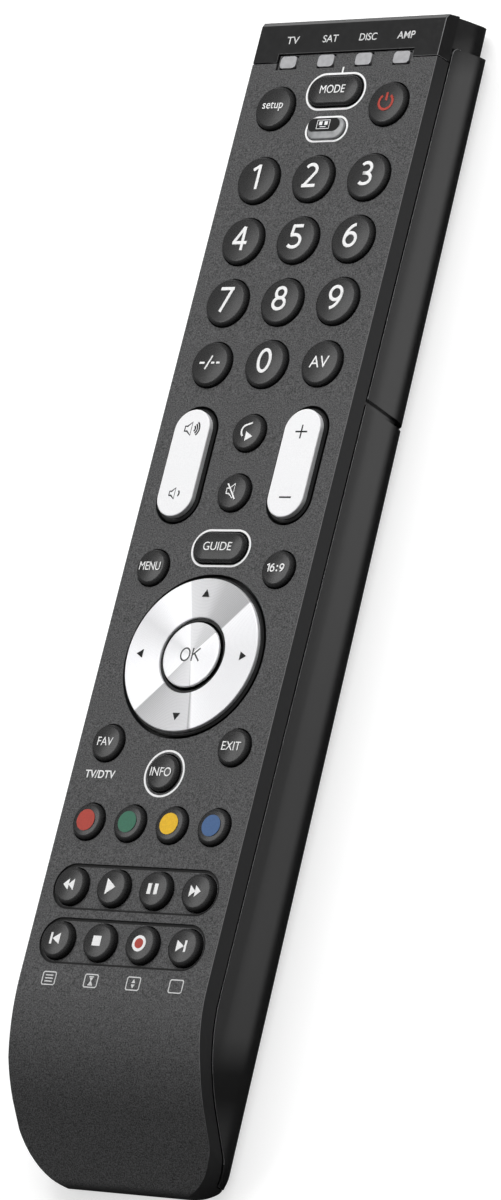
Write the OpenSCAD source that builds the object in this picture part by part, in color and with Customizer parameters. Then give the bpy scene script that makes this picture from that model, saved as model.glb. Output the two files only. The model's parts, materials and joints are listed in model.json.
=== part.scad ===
// Universal remote control: a long tapered case with a field of sprung keys, two rockers,
// a tilting navigation ring, and a wrap-round battery cover that swings off the back.
// The remote lies on its back: +Z leaves the key face, +Y points to the signal window.
// Modules draw in panel coordinates: zero is the centre of the navigation ring on the panel.

/* [Case] */
// Width of the front panel
panel_w = 45; // [44:0.5:52]
// Extra half-width of the case where the front cover ends
side_flare = 0.6; // [0.1:0.1:1.2]
// Angle between the front panel and the rear plane
panel_tilt = 1.24; // [0:0.02:1.4]
// Wall thickness of the moulded shells
wall = 1.6; // [1.3:0.1:1.9]
// Height of the front cover's side band
band_h = 3.3; // [2.8:0.1:3.8]
// Width of the groove between the front cover and the shells behind it
split_gap = 0.45; // [0.3:0.05:0.8]
// Depth of the crease along the sides, below the panel
crease_depth = 7.5; // [6:0.5:10]
// Lean of the sides below the crease, in degrees
side_lean = 3; // [0.5:0.5:8]
// Radius of the long rear edges
rear_edge_r = 4.3; // [3:0.1:6]

/* [Chin] */
// Distance from the lower transport row to the start of the chin
transport_to_chin = 7.5; // [6:0.1:12]
// Radius of the bend from the panel into the chin
chin_r = 36.2; // [30:0.1:42]
// Angle of the chin's straight slope
chin_angle = 38.3; // [34:0.1:42]
// Radius of the nose at the foot of the chin
tip_r = 2.9; // [2.4:0.1:3.4]
// Radius of the corners at the chin end, seen from the front
chin_corner_r = 11; // [6:0.5:12]

/* [Signal window] */
// Length of the window's front face
window_l = 8.8; // [8:0.1:12]
// Lean of the window's end face, in degrees
end_lean = 13.5; // [8:0.5:16]
// Length of the window that stands out of the rear cover
window_reveal = 6.3; // [5:0.1:7.5]
// Step from the rear cover's side in to the window's side
window_step = 1.2; // [0.8:0.1:1.5]
// Wall thickness of the window
window_wall = 1.6; // [1.2:0.1:2]
// Width of the bevel along the window's front edge
window_bevel = 0.9; // [0.5:0.1:1.5]
// Slope of that bevel, in degrees
bevel_angle = 30; // [20:1:45]
// Length of the tongue that the window pushes into the rear cover
window_tongue = 3; // [2:0.5:4]
// Radius of the rear cover's corner beside the window
end_round = 2; // [1:0.1:3]

/* [Mode lights] */
// Spacing of the four mode lights
light_pitch = 9.2; // [8:0.1:9.6]
// Width of a mode light
light_w = 3.9; // [3:0.1:4.6]
// Length of a mode light along the remote
light_l = 2.6; // [2:0.1:3]
// Depth of the strip that holds the mode lights
light_strip_depth = 0.5; // [0.3:0.1:0.7]
// Outer mode lights to the ends of the strip
light_margin = 0.6; // [0.4:0.1:1]

/* [Key rows] */
// Navigation ring's edge to the centre of the menu row
menu_rise = 2.3; // [1.6:0.1:6]
// Navigation ring's edge to the centre of the guide key
guide_rise = 6.5; // [5.8:0.1:9]
// Guide key to mute key
guide_to_mute = 11.25; // [9.5:0.05:14]
// Mute key to the middle of the rockers
mute_to_rockers = 5.7; // [5:0.1:7]
// Middle of the rockers to the return key
rockers_to_return = 6.55; // [5.5:0.05:7]
// End of the rockers to the edge of the lowest number row
rockers_to_digits = 4.9; // [4.6:0.05:8]
// Gap between the rows of number keys
digit_row_gap = 3.2; // [2:0.1:6]
// Top number row to the activity key
digits_to_activity = 10.6; // [9.5:0.1:14]
// Activity key to the power row
activity_to_power = 4.75; // [4:0.05:7]
// Activity key to the mode key
activity_to_mode = 8; // [7.5:0.1:11]
// Mode key to the signal window
mode_to_window = 6.8; // [6.4:0.1:9]
// Navigation ring's edge to the centre of the favourites row
fav_drop = 2.5; // [1.8:0.1:6]
// Navigation ring's edge to the centre of the info key
info_drop = 8.1; // [7:0.1:10]
// Info key to the colour row
info_to_colours = 10.15; // [8.5:0.05:14]
// Colour row to the upper transport row
colours_to_transport = 12.85; // [10:0.05:16]
// Gap between the two rows of transport keys
transport_row_gap = 3.4; // [3:0.1:6]

/* [Keys] */
// Height of the keys above the panel
key_h = 1.2; // [1:0.1:2.4]
// Height of the activity key above the panel
activity_h = 0.7; // [0.6:0.05:1.2]
// Height of a key's straight side above the panel
key_side = 0.3; // [0.1:0.05:0.4]
// Height of the crown on a key's face
key_crown = 0.06; // [0.02:0.02:0.1]
// Width of the soft shoulder round a key's top
key_shoulder = 0.8; // [0.5:0.1:1.5]
// Travel of a key
key_travel = 0.8; // [0.5:0.05:0.9]
// Gap between a key and its hole
key_gap = 0.25; // [0.2:0.05:0.4]
// Width of the flange that holds a key under the panel
flange_w = 0.5; // [0.4:0.05:0.6]
// Thickness of that flange
flange_t = 0.7; // [0.5:0.05:0.8]
// Diameter of the number keys
digit_d = 9.7; // [8:0.1:10.4]
// Edge of the panel to the outer number keys
digit_margin = 4.3; // [3.2:0.05:5]
// Diameter of the two keys beside the zero
side_digit_d = 9.2; // [7:0.1:9.4]
// Diameter of the power key and the set-up key
power_d = 9; // [7:0.1:9.4]
// Edge of the panel to the power key
power_margin = 4.25; // [3.2:0.05:5]
// Width of the mode key
mode_w = 12.7; // [10:0.1:14]
// Length of the mode key along the remote
mode_l = 6.3; // [5:0.1:7]
// Width of the activity key
activity_w = 8.9; // [7.5:0.1:10]
// Length of the activity key along the remote
activity_l = 4.6; // [4:0.1:5]
// Diameter of the return and mute keys
mute_d = 7.5; // [6:0.1:8]
// Width of the guide key
guide_w = 12.5; // [10:0.1:14]
// Length of the guide key along the remote
guide_l = 6.1; // [5:0.1:7]
// Diameter of the menu, aspect, favourites, exit and info keys
menu_d = 7.25; // [6:0.05:8]
// Edge of the panel to the menu keys
menu_margin = 3.7; // [3.2:0.05:5]
// Diameter of the colour keys
colour_d = 7.15; // [6:0.05:8]
// Edge of the panel to the outer colour keys
colour_margin = 3.85; // [3.2:0.05:5]
// Diameter of the transport keys
transport_d = 7.3; // [6:0.05:8]
// Edge of the panel to the outer transport keys
transport_margin = 3.6; // [3.2:0.05:5]
// Depth of the recess round each transport row
recess_depth = 0.4; // [0.2:0.05:0.6]
// Width of the recess beside the transport keys
recess_margin = 0.85; // [0.7:0.05:1.4]

/* [Rockers and ring] */
// Width of the bright plates of the volume and channel rockers
rocker_w = 8.45; // [7:0.05:9]
// Length of those plates
rocker_l = 22; // [19:0.1:24]
// Height of the rockers above the panel
rocker_h = 1.3; // [1:0.1:2]
// Width of the black rim round a rocker's bright plate
rocker_rim = 0.7; // [0.4:0.05:0.9]
// Edge of the panel to the rockers' bright plates
rocker_margin = 4.9; // [3.6:0.1:5.5]
// Gap between a rocker and its hole
rocker_gap = 0.45; // [0.4:0.05:0.6]
// Tilt of a rocker at its stops, in degrees
rocker_tilt = 4; // [2:0.5:4.5]
// Length of the wings that a rocker tilts on
rocker_wing_l = 6; // [4:0.5:8]
// Thickness of those wings
rocker_wing_t = 0.6; // [0.5:0.05:0.8]
// Middle of a rocker to the pegs under its ends
rocker_peg_y = 7.3; // [6:0.1:8]
// Diameter of the navigation ring's bright plate
nav_d = 30.8; // [26:0.1:34]
// Diameter of the OK key
ok_d = 13; // [10:0.1:15]
// Height of the ring and the OK key above the panel
nav_h = 1; // [0.8:0.1:1.6]
// Thickness of the ring
nav_t = 1.6; // [1.2:0.1:1.8]
// Gap round the ring and round the OK key
nav_gap = 0.5; // [0.4:0.05:0.8]
// Width of the ring's black rim outside its bright plate
nav_rim = 0.65; // [0.4:0.05:0.9]
// Width of the ring's black lip inside its bright plate
nav_lip = 0.6; // [0.3:0.05:1]
// Height of the black rims above the panel
rim_h = 0.2; // [0:0.05:0.3]
// Width of the soft edge round the bright plates
plate_edge = 0.25; // [0.15:0.05:0.3]
// Tilt of the ring at its stops, in degrees
nav_tilt = 2; // [1:0.1:2.4]
// Fall of the ring's face towards the OK key
ring_dish = 0.35; // [0.2:0.05:0.5]
// Width of the flange that holds the ring's carrier under the edge of its hole
carrier_flange_w = 0.8; // [0.6:0.1:1]
// Thickness of that flange
carrier_flange_t = 0.6; // [0.5:0.05:0.8]
// Width of the ribs that the carrier and the ring rock on
carrier_rib_w = 1.2; // [0.8:0.1:2]

/* [Inside] */
// Thickness of the keypad mat
mat_t = 0.8; // [0.7:0.05:1]
// Thickness of the circuit board
board_t = 1.2; // [0.8:0.1:1.6]
// Radius of the peg under each key
peg_r = 1.4; // [1:0.1:1.6]
// Play between pieces that are fitted together
play = 0.3; // [0.2:0.05:0.35]
// Thickness of the battery bay's floor
floor_t = 1; // [0.8:0.1:1.4]
// Depth of the side rails beside the board, below the panel
rail_depth = 10; // [9:0.5:13]
// Thickness of those rails
rail_t = 1; // [0.8:0.1:1.4]
// Radius of the screw posts
post_r = 2.1; // [2:0.1:2.3]
// Radius of the screw shanks
screw_r = 1; // [0.8:0.05:1.1]
// Length of the screw shanks
screw_l = 3.8; // [3:0.1:4]
// Radius of the screw heads
screw_head_r = 1.9; // [1.6:0.05:2]
// Height of the screw heads
screw_head_h = 1.2; // [0.9:0.1:1.6]
// Width of the cross slots in the heads
screw_slot_w = 0.4; // [0.3:0.05:0.5]

/* [Board parts] */
// Side of the controller chip
chip_w = 9; // [6:0.5:12]
// Thickness of the controller chip
chip_t = 1.2; // [0.8:0.1:1.6]
// Length of the resonator
resonator_l = 6; // [4:0.5:8]
// Width of the resonator
resonator_w = 3; // [2:0.5:4]
// Height of the resonator
resonator_h = 3; // [2:0.5:4]
// Diameter of the capacitor
capacitor_d = 5; // [4:0.5:6]
// Length of the capacitor
capacitor_l = 8; // [6:0.5:11]
// Width of the lamp under a mode light
led_w = 1.6; // [1:0.1:2]
// Length of that lamp along the remote
led_l = 0.8; // [0.5:0.1:1.2]
// Height of that lamp
led_h = 0.7; // [0.5:0.1:1]
// Diameter of the infrared lamps
ir_lamp_d = 5; // [3:0.5:5]
// Length of an infrared lamp below its dome
ir_lamp_l = 5; // [4:0.5:6]

/* [Batteries] */
// Diameter of a cell
cell_d = 10.5; // [9.5:0.1:10.8]
// Length of a cell with its nub
cell_l = 44.5; // [40:0.1:50]
// Length of a cell's nub
nub_l = 1; // [0.8:0.1:1.5]
// Radius of a cell's nub
nub_r = 1.9; // [1.5:0.1:2.2]
// Room between the cells and the battery cover
cell_room = 0.35; // [0.3:0.05:2]
// Gap between the cells and along the walls of their bay
cell_gap = 0.6; // [0.4:0.1:1.2]
// Thickness of the bay's walls
bay_wall = 1; // [0.8:0.1:1.4]
// Thickness of the contact plates
contact_t = 0.4; // [0.3:0.05:0.6]
// Width of the contact plates on a cell
contact_w = 8.4; // [6:0.1:9]
// Length of the springs with the cells in place
spring_l = 4.6; // [3.5:0.1:6]
// Wire of the springs
spring_wire = 0.6; // [0.4:0.05:0.7]
// Radius of the springs at the middle of the wire
spring_r = 2.6; // [2:0.1:3]
// Turns of a spring
spring_turns = 4; // [3:1:4]
// Lower transport row to the foot of the battery bay
bay_rise = 6; // [3:0.5:14]
// Gap across the back between the rear cover and the battery cover
seam_gap = 1.1; // [1:0.05:1.5]
// End of the rockers to the seam of the battery cover
seam_rise = 3.4; // [3.2:0.05:5]
// Length of the rear cover's lip that bridges that gap
seam_lip = 1.3; // [1.2:0.05:1.8]
// Depth of that lip below the case's surface
seam_recess = 0.7; // [0.6:0.05:0.75]
// Width of the thumb grooves on the battery cover
grip_w = 16; // [10:1:24]
// Spacing of the thumb grooves
grip_pitch = 2.2; // [1.8:0.1:3]
// Number of thumb grooves
grip_count = 5; // [3:1:7]
// Width of a thumb groove
groove_w = 0.9; // [0.5:0.1:1.2]
// Depth of a thumb groove
groove_depth = 0.4; // [0.2:0.1:0.6]

/* [Hidden] */
$fn = 64;

// Half-widths of the case at the panel and at the groove
half_w = panel_w / 2;
split_half_w = half_w + side_flare;

// Rows above the ring
nav_r = nav_d / 2;
nav_hole_r = nav_r + nav_rim + nav_gap;
ok_r = ok_d / 2;
menu_y = nav_r + menu_rise;
guide_y = nav_r + guide_rise;
mute_y = guide_y + guide_to_mute;
rockers_y = mute_y + mute_to_rockers;
return_y = rockers_y + rockers_to_return;
rocker_top_y = rockers_y + rocker_l / 2;
digits_y = rocker_top_y + rockers_to_digits + digit_d / 2;
digit_pitch_y = digit_d + digit_row_gap;
activity_y = digits_y + 3 * digit_pitch_y + digits_to_activity;
power_y = activity_y + activity_to_power;
mode_y = activity_y + activity_to_mode;
window_y = mode_y + mode_to_window;
end_y = window_y + window_l;

// Rows below the ring
fav_y = -nav_r - fav_drop;
info_y = -nav_r - info_drop;
colours_y = info_y - info_to_colours;
transport_y = colours_y - colours_to_transport;
transport_low_y = transport_y - transport_d - transport_row_gap;
chin_y = transport_low_y - transport_to_chin;

// Columns
digit_x = half_w - digit_margin - digit_d / 2;
power_x = half_w - power_margin - power_d / 2;
rocker_x = half_w - rocker_margin - rocker_w / 2;
menu_x = half_w - menu_margin - menu_d / 2;
colour_x = (half_w - colour_margin - colour_d / 2) / 3;
transport_x = (half_w - transport_margin - transport_d / 2) / 3;

// Depths below the panel: a key's flange, the rocker's wings and the ring's carrier hang under
// the panel, and the mat lies clear of the one that comes lowest when it is pressed
flange_top = wall + key_gap;
flange_low = flange_top + flange_t;
rocker_wing_top = wall + play + rocker_wing_l / 2 * sin(rocker_tilt);
rocker_low = rocker_wing_top + rocker_wing_t / 2;
carrier_r = nav_hole_r + carrier_flange_w;
carrier_swing = carrier_r * sin(nav_tilt);
carrier_top = wall + play + carrier_swing;
carrier_low = carrier_top + carrier_flange_t;
mat_depth = max(flange_low + key_travel + 2 * play, carrier_low + carrier_swing + play);
peg_low = mat_depth - play;
rocker_peg_low = peg_low - (rocker_peg_y + peg_r) * sin(rocker_tilt);
board_top = mat_depth + mat_t;
board_low = board_top + board_t;
guide_low = min(mat_depth, board_top - led_h) - play;

// Depths of the battery bay, which set the thickness of the case under the ring
floor_top = board_low + play;
floor_low = floor_top + floor_t;
cell_z = -floor_low - play - cell_d / 2;
bay_low = floor_low + play + cell_d;
case_h = bay_low + cell_room + wall;
rear_drop = tan(panel_tilt);

// Inside widths: rails beside the board, supports under it
rail_x = half_w - wall - play;
board_half_w = rail_x - rail_t - play;
support_x = half_w / 2;
SUPPORT_ROWS = [digits_y + digit_pitch_y, power_y];
parts_y = digits_y + 2.5 * digit_pitch_y;
board_foot_y = transport_low_y - transport_d;

// Screws: beside the return key, beside the info key and under the chin
screw_side_x = half_w - wall - post_r - play;
SCREWS = [
    [rocker_x / 2, rocker_top_y - play],
    [screw_side_x, (fav_y + colours_y) / 2],
    [support_x, chin_y - 2 * post_r]];

// Battery bay: two cells side by side, head to tail
bay_w = 2 * cell_d + 3 * cell_gap;
bay_l = cell_l + spring_l + 2 * contact_t + cell_gap;
bay_mid_y = transport_low_y + bay_rise + bay_l / 2;
bay_foot_y = chin_y - 4 * post_r;
cell_x = (cell_d + cell_gap) / 2;
seam_y = rocker_top_y + seam_rise;

// Chin: where the bend starts and ends, and the nose that closes it
slope = [cos(chin_angle), sin(chin_angle)];
chin_c = [chin_y, -chin_r];
chin_foot = chin_point(0, chin_angle);
chin_run = (chin_foot[1] + case_h - chin_foot[0] * rear_drop) / (slope[1] - slope[0] * rear_drop);
tip_half = (chin_angle - panel_tilt) / 2;
tip_bisector = (chin_angle + panel_tilt) / 2;
tip_dir = [cos(tip_bisector), sin(tip_bisector)];
tip_c = chin_foot - chin_run * slope + tip_r / sin(tip_half) * tip_dir;
nose_y = tip_c[0];
reach = 2 * (end_y - nose_y);

// The case lies on its rear plane, with the middle of its length over the zero
window_end = end_rear(window_step, 0);
foot_y = tip_c[0] * cos(panel_tilt) + tip_c[1] * sin(panel_tilt) - tip_r;
head_y = window_end[0] * cos(panel_tilt) + window_end[1] * sin(panel_tilt);
middle_y = (foot_y + head_y) / 2;

// Each key: name, place, width, extra length across
KEYS = concat(
    [["setup_key", [-power_x, power_y], power_d, 0]],
    [["power_key", [power_x, power_y], power_d, 0]],
    [["mode_key", [0, mode_y], mode_l, mode_w - mode_l]],
    [["activity_key", [0, activity_y], activity_l, activity_w - activity_l]],
    [for (n = [1:9]) [str("digit_", n, "_key"), digit_place(n), digit_d, 0]],
    [["dash_key", [-digit_x, digits_y], side_digit_d, 0]],
    [["digit_0_key", [0, digits_y], digit_d, 0]],
    [["av_key", [digit_x, digits_y], side_digit_d, 0]],
    [["return_key", [0, return_y], mute_d, 0]],
    [["mute_key", [0, mute_y], mute_d, 0]],
    [["guide_key", [0, guide_y], guide_l, guide_w - guide_l]],
    [["menu_key", [-menu_x, menu_y], menu_d, 0]],
    [["aspect_key", [menu_x, menu_y], menu_d, 0]],
    [["fav_key", [-menu_x, fav_y], menu_d, 0]],
    [["exit_key", [menu_x, fav_y], menu_d, 0]],
    [["info_key", [0, info_y], menu_d, 0]],
    key_row(["red_key", "green_key", "yellow_key", "blue_key"], colour_x, colours_y, colour_d),
    key_row(["rewind_key", "play_key", "pause_key", "forward_key"],
        transport_x, transport_y, transport_d),
    key_row(["previous_key", "stop_key", "record_key", "next_key"],
        transport_x, transport_low_y, transport_d));

// Each rocker: name, place across
ROCKERS = [["volume_rocker", -rocker_x], ["channel_rocker", rocker_x]];

// Places of the number keys, in three rows above the zero
function digit_place(n) =
    [((n - 1) % 3 - 1) * digit_x, digits_y + (3 - floor((n - 1) / 3)) * digit_pitch_y];

// Four keys in a row, spread evenly about the middle
function key_row(names, step, y, d) = [for (i = [0:3]) [names[i], [(2 * i - 3) * step, y], d, 0]];

// Points of the case's side view, moved in by a distance
function chin_point(inset, a) =
    [chin_y - (chin_r - inset) * sin(a), -chin_r + (chin_r - inset) * cos(a)];
function chin_corner(inset) = [chin_y - (chin_r - inset) * tan(chin_angle / 2), -inset];
function nose_r(inset) = max(tip_r - inset, tip_r / 20);
function nose_point(inset, a) = tip_c + nose_r(inset) * [cos(a), sin(a)];
function nose_corner(inset) = tip_c - nose_r(inset) / sin(tip_half) * tip_dir;
function end_front(inset, end_inset) =
    [end_y + inset * tan(end_lean) - end_inset / cos(end_lean), -inset];
function end_rear(inset, end_inset) =
    let (base = -case_h + inset / cos(panel_tilt))
    let (front = end_y - end_inset / cos(end_lean))
    let (y = (front - tan(end_lean) * base) / (1 + tan(end_lean) * rear_drop))
    [y, base + y * rear_drop];

// Both halves of an outline that is the same left and right
function mirrored(right) = concat(right, [for (i = [len(right) - 1:-1:0]) [-right[i][0], right[i][1]]]);

// A corner between two straight runs, filled out to its round
module round_corner(from, corner, to, centre, r) {
    intersection() {
        polygon([from, corner, to]);
        translate(centre) circle(r);
    }
}

// Side view of the case
module side_outline(inset, end_inset) {
    bend_in = chin_point(inset, 0);
    bend_out = chin_point(inset, chin_angle);
    nose_in = nose_point(inset, 90 + chin_angle);
    nose_out = nose_point(inset, 270 + panel_tilt);
    front = end_front(inset, end_inset);
    rear = end_rear(inset, end_inset);
    polygon([front, bend_in, bend_out, nose_in, nose_out, rear]);
    round_corner(bend_in, chin_corner(inset), bend_out, chin_c, chin_r - inset);
    round_corner(nose_in, nose_corner(inset), nose_out, tip_c, nose_r(inset));
}

// Side view of everything deeper than a distance behind the front surface
module behind_front(depth) {
    bend_in = chin_point(depth, 0);
    bend_out = chin_point(depth, chin_angle);
    foot = bend_out - chin_run * slope;
    low = -2 * case_h;
    polygon([[reach, -depth], bend_in, bend_out, foot, [foot[0], low], [reach, low]]);
    round_corner(bend_in, chin_corner(depth), bend_out, chin_c, chin_r - depth);
}

// Front view of the case, with round corners at the chin
module plan_outline(inset) {
    w = split_half_w - inset;
    r = chin_corner_r - inset;
    low = nose_y - tip_r - play + inset;
    translate([-w, low + r]) square([2 * w, reach]);
    translate([r - w, low]) square([2 * (w - r), 2 * r]);
    for (side = [-1, 1]) translate([side * (w - r), low + r]) circle(r);
}

// Section across the case: flared band, straight side, crease, leaning side
module side_section(inset) {
    top = split_half_w - 2 * side_flare - inset;
    mid = split_half_w - inset;
    drop = 2 * case_h - crease_depth;
    low = mid - drop * tan(side_lean);
    polygon(mirrored([[top, band_h], [mid, -band_h], [mid, -crease_depth], [low, -drop - crease_depth]]));
}

// Half-width of the case where its rear edges start to round
function rear_half_w(inset) =
    split_half_w - inset - (case_h - rear_edge_r - crease_depth) * tan(side_lean);

// Section across the case square to the rear plane, with its round rear edges
module rear_section(inset) {
    r = rear_edge_r - inset;
    base = -case_h * cos(panel_tilt) + inset;
    w = rear_half_w(inset);
    translate([-panel_w, base + r]) square([2 * panel_w, 2 * case_h]);
    translate([r - w, base]) square([2 * (w - r), 2 * r]);
    for (side = [-1, 1]) translate([side * (w - r), base + r]) circle(r);
}

// Extrusions across the case and along it
module along_x() rotate([90, 0, 90]) linear_extrude(2 * panel_w, center = true) children();
module along_y() rotate([90, 0, 0]) linear_extrude(2 * reach, center = true) children();

// The outer form of the case, moved in by a distance
module envelope(inset, end_inset) {
    intersection() {
        along_x() side_outline(inset, end_inset);
        linear_extrude(4 * case_h, center = true) plan_outline(inset);
        along_y() side_section(inset);
        rotate([panel_tilt, 0, 0]) along_y() rear_section(inset);
    }
}

// Section square to the rear plane with plain bevels, for the inside of the shells
module bevel_section(inset) {
    c = rear_edge_r - inset;
    base = -case_h * cos(panel_tilt) + inset;
    w = rear_half_w(inset);
    polygon(mirrored([[panel_w, case_h], [panel_w, base + c], [w, base + c], [w - c, base]]));
}

// Front view of the inside, with bevelled corners at the chin
module bevel_plan(inset) {
    w = split_half_w - inset;
    c = chin_corner_r - inset;
    low = nose_y - tip_r + inset;
    polygon(mirrored([[w, reach], [w, low + c], [w - c, low]]));
}

// Side view of the inside: it follows the bend of the chin and stops square at the nose
module inside_outline(inset, end_inset) {
    steps = 10;
    deep = 2 * case_h;
    bend = [for (i = [0:steps]) chin_point(inset, chin_angle * i / steps)];
    fall = bend[steps] - (bend[steps][0] - nose_y) / slope[0] * slope;
    end = end_front(inset, end_inset);
    end_deep = [end[0] + (deep - inset) * tan(end_lean), -deep];
    polygon(concat([end], bend, [fall, [nose_y, -deep], end_deep]));
}

// The space inside the shells, a distance in from the outer form
module cavity(inset, end_inset) {
    intersection() {
        along_x() inside_outline(inset, end_inset);
        linear_extrude(4 * case_h, center = true) bevel_plan(inset);
        along_y() side_section(inset);
        rotate([panel_tilt, 0, 0]) along_y() bevel_section(inset);
    }
}

// A slab of space across the case between two places along it
module y_slab(from, to) {
    translate([-panel_w, from, -2 * case_h]) cube([2 * panel_w, to - from, 3 * case_h]);
}

// A bar with round ends, across the remote
module pill(d, extra) {
    if (extra > 0) {
        square([extra, d], center = true);
        for (side = [-1, 1]) translate([side * extra / 2, 0]) circle(d / 2);
    } else {
        circle(d / 2);
    }
}

// Turns a half profile into a round solid, or into a bar with round ends
module turned(extra) {
    if (extra > 0) {
        for (side = [-1, 1]) translate([side * extra / 2, 0, 0]) rotate_extrude() children();
        rotate([90, 0, 90]) linear_extrude(extra, center = true) {
            children();
            mirror([1, 0]) children();
        }
    } else {
        rotate_extrude() children();
    }
}

// Half profile of a key's top: straight side, soft shoulder, gently domed face
function cap_points(r, h) =
    let (w = min(key_shoulder, r / 2))
    let (rise = h - key_crown - key_side)
    let (steps = 8)
    concat(
        [[r, -flange_top]],
        [for (i = [0:steps]) let (a = 90 * i / steps) [r - w + w * cos(a), key_side + rise * sin(a)]],
        [[0, h]]);

// Half profile of a bright plate with a soft edge, standing on a wider black base
function plate_points(r, rim, h, from) = [[rim, from], [rim, rim_h - plate_edge],
    [rim - plate_edge, rim_h], [r, rim_h], [r, h - plate_edge], [r - plate_edge, h]];

// Half profile of a key's peg, up to its flange
function peg_points() = [[0, -peg_low], [peg_r, -peg_low], [peg_r, -flange_low]];

// Half profile of a whole key: peg, flange and cap
module key_profile(r, h) {
    rim = r + flange_w;
    polygon(concat(peg_points(), [[rim, -flange_low], [rim, -flange_top]], cap_points(r, h)));
}

// Holes for the keys, the rockers and the ring, seen from the front
module key_holes() {
    for (k = KEYS) translate(k[1]) pill(k[2] + 2 * key_gap, k[3]);
    for (r = ROCKERS) translate([r[1], rockers_y]) rotate(90)
        pill(rocker_w + 2 * (rocker_rim + rocker_gap), rocker_l - rocker_w);
    circle(nav_hole_r);
}

module at_screws() {
    for (p = SCREWS, side = [-1, 1]) translate([side * p[0], p[1], 0]) children();
}

module at_lights() {
    for (i = [-3, -1, 1, 3]) translate([i * light_pitch / 2, window_y, 0]) children();
}

// Strip that holds the mode lights, seen from the front
module light_strip(extra) {
    w = 3 * light_pitch + light_w + 2 * (light_margin + extra);
    translate([0, window_y]) square([w, light_l + 2 * (play + extra)], center = true);
}

// Recess round a row of transport keys, seen from the front
module transport_recess(y) {
    d = transport_d + 2 * recess_margin;
    translate([0, y]) pill(d, 6 * transport_x);
}

module front_cover() {
    color("#3b3b3d") difference() {
        union() {
            difference() {
                envelope(0, 0);
                cavity(wall, -window_l);
                along_x() intersection() {
                    behind_front(band_h);
                    translate([nose_y, -2 * case_h]) square([reach, 4 * case_h]);
                }
                y_slab(window_y - play / 2, reach);
            }
            translate([0, 0, -wall]) linear_extrude(wall - light_strip_depth) light_strip(0);
            intersection() {
                at_screws() translate([0, 0, -floor_top]) cylinder(r = post_r, h = floor_top);
                cavity(wall / 2, 0);
            }
        }
        translate([0, 0, -2 * wall]) linear_extrude(3 * wall) key_holes();
        for (y = [transport_y, transport_low_y])
            translate([0, 0, -recess_depth]) linear_extrude(wall) transport_recess(y);
        translate([0, 0, -light_strip_depth]) linear_extrude(wall) light_strip(0);
        at_lights() translate([0, 0, -wall]) cube([light_w + play, light_l + play, 2 * wall], center = true);
        at_screws() translate([0, 0, -floor_low]) cylinder(r = screw_r + play / 4, h = screw_l + play);
    }
}

module signal_window() {
    color("#1b1b1d") difference() {
        union() {
            difference() {
                envelope(0, 0);
                along_x() behind_front(band_h);
                y_slab(-reach, window_y);
            }
            difference() {
                intersection() {
                    envelope(window_step, 0);
                    along_x() behind_front(band_h);
                    y_slab(window_y, reach);
                }
                along_x() side_outline(-band_h, window_reveal - play / 2);
            }
            intersection() {
                cavity(wall + play / 2, 0);
                along_x() behind_front(band_h);
                y_slab(end_y - window_reveal - window_tongue, reach);
            }
        }
        cavity(window_step + window_wall, window_wall);
        translate([0, 0, -band_h]) linear_extrude(2 * band_h) light_strip(play / 2);
        translate([-panel_w, end_y - window_bevel, 0]) rotate([-bevel_angle, 0, 0])
            cube([2 * panel_w, 4 * window_bevel, 2 * band_h]);
    }
}

// One clear moulding carries the light from the lamps on the board to the four windows
module light_guide() {
    color("#d5d6d8") {
        at_lights() translate([-light_w / 2, -light_l / 2, -guide_low])
            cube([light_w, light_l, guide_low - play / 3]);
        translate([-1.5 * light_pitch, window_y - light_l / 2, -guide_low])
            cube([3 * light_pitch, light_l, guide_low - wall - play]);
    }
}

// What the rear cover's round corner beside the window leaves away, seen from the side
module end_corner() {
    depth = band_h + split_gap;
    centre = end_front(depth + end_round, window_reveal + end_round);
    square_corner = end_front(0, window_reveal - end_round);
    side_corner = end_front(depth + end_round, window_reveal - end_round);
    difference() {
        polygon([centre, [centre[0], 0], square_corner, side_corner]);
        translate(centre) circle(end_round);
    }
}

// Outer form of the upper rear shell, with the lip that bridges the gap to the battery cover
module rear_form(end) {
    intersection() {
        envelope(0, window_reveal);
        y_slab(end, reach);
    }
    intersection() {
        cavity(seam_recess, window_reveal);
        y_slab(end - seam_lip, end + wall);
    }
}

// Upper rear shell with its end wall, and in one moulding with it the battery bay under the board
module rear_cover() {
    top_end = seam_y + seam_gap / 2;
    color("#17181a") difference() {
        union() {
            intersection() {
                difference() {
                    rear_form(top_end);
                    cavity(wall, -window_l);
                    along_x() end_corner();
                }
                along_x() behind_front(band_h + split_gap);
            }
            intersection() {
                cavity(wall / 2, window_reveal);
                along_x() behind_front(floor_top);
                y_slab(top_end, top_end + wall);
            }
            translate([-rail_x, bay_foot_y, -floor_low])
                cube([2 * rail_x, top_end + wall / 2 - bay_foot_y, floor_t]);
            side_rails(top_end + wall);
            bay_walls();
            intersection() {
                for (side = [-1, 1], y = SUPPORT_ROWS) translate([side * support_x, y, -case_h])
                    cylinder(r = post_r / 2, h = case_h - floor_top);
                cavity(wall / 2, window_reveal);
            }
        }
        at_screws() translate([0, 0, -floor_low - wall])
            cylinder(r = screw_r + play / 2, h = floor_t + 2 * wall);
    }
}

// Rails along both sides of the board, open round the screw posts
module side_rails(end) {
    difference() {
        intersection() {
            for (side = [-1, 1])
                translate([side * (rail_x - rail_t / 2), (bay_foot_y + end) / 2, -rail_depth / 2])
                    cube([rail_t, end - bay_foot_y, rail_depth], center = true);
            along_x() behind_front(band_h + play);
        }
        at_screws() cylinder(r = post_r + play, h = 4 * case_h, center = true);
    }
}

module bay_walls() {
    difference() {
        translate([0, bay_mid_y, -(floor_top + bay_low) / 2])
            cube([bay_w + 2 * bay_wall, bay_l + 2 * bay_wall, bay_low - floor_top], center = true);
        translate([0, bay_mid_y, -floor_low - case_h / 2]) cube([bay_w, bay_l, case_h], center = true);
    }
}

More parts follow.
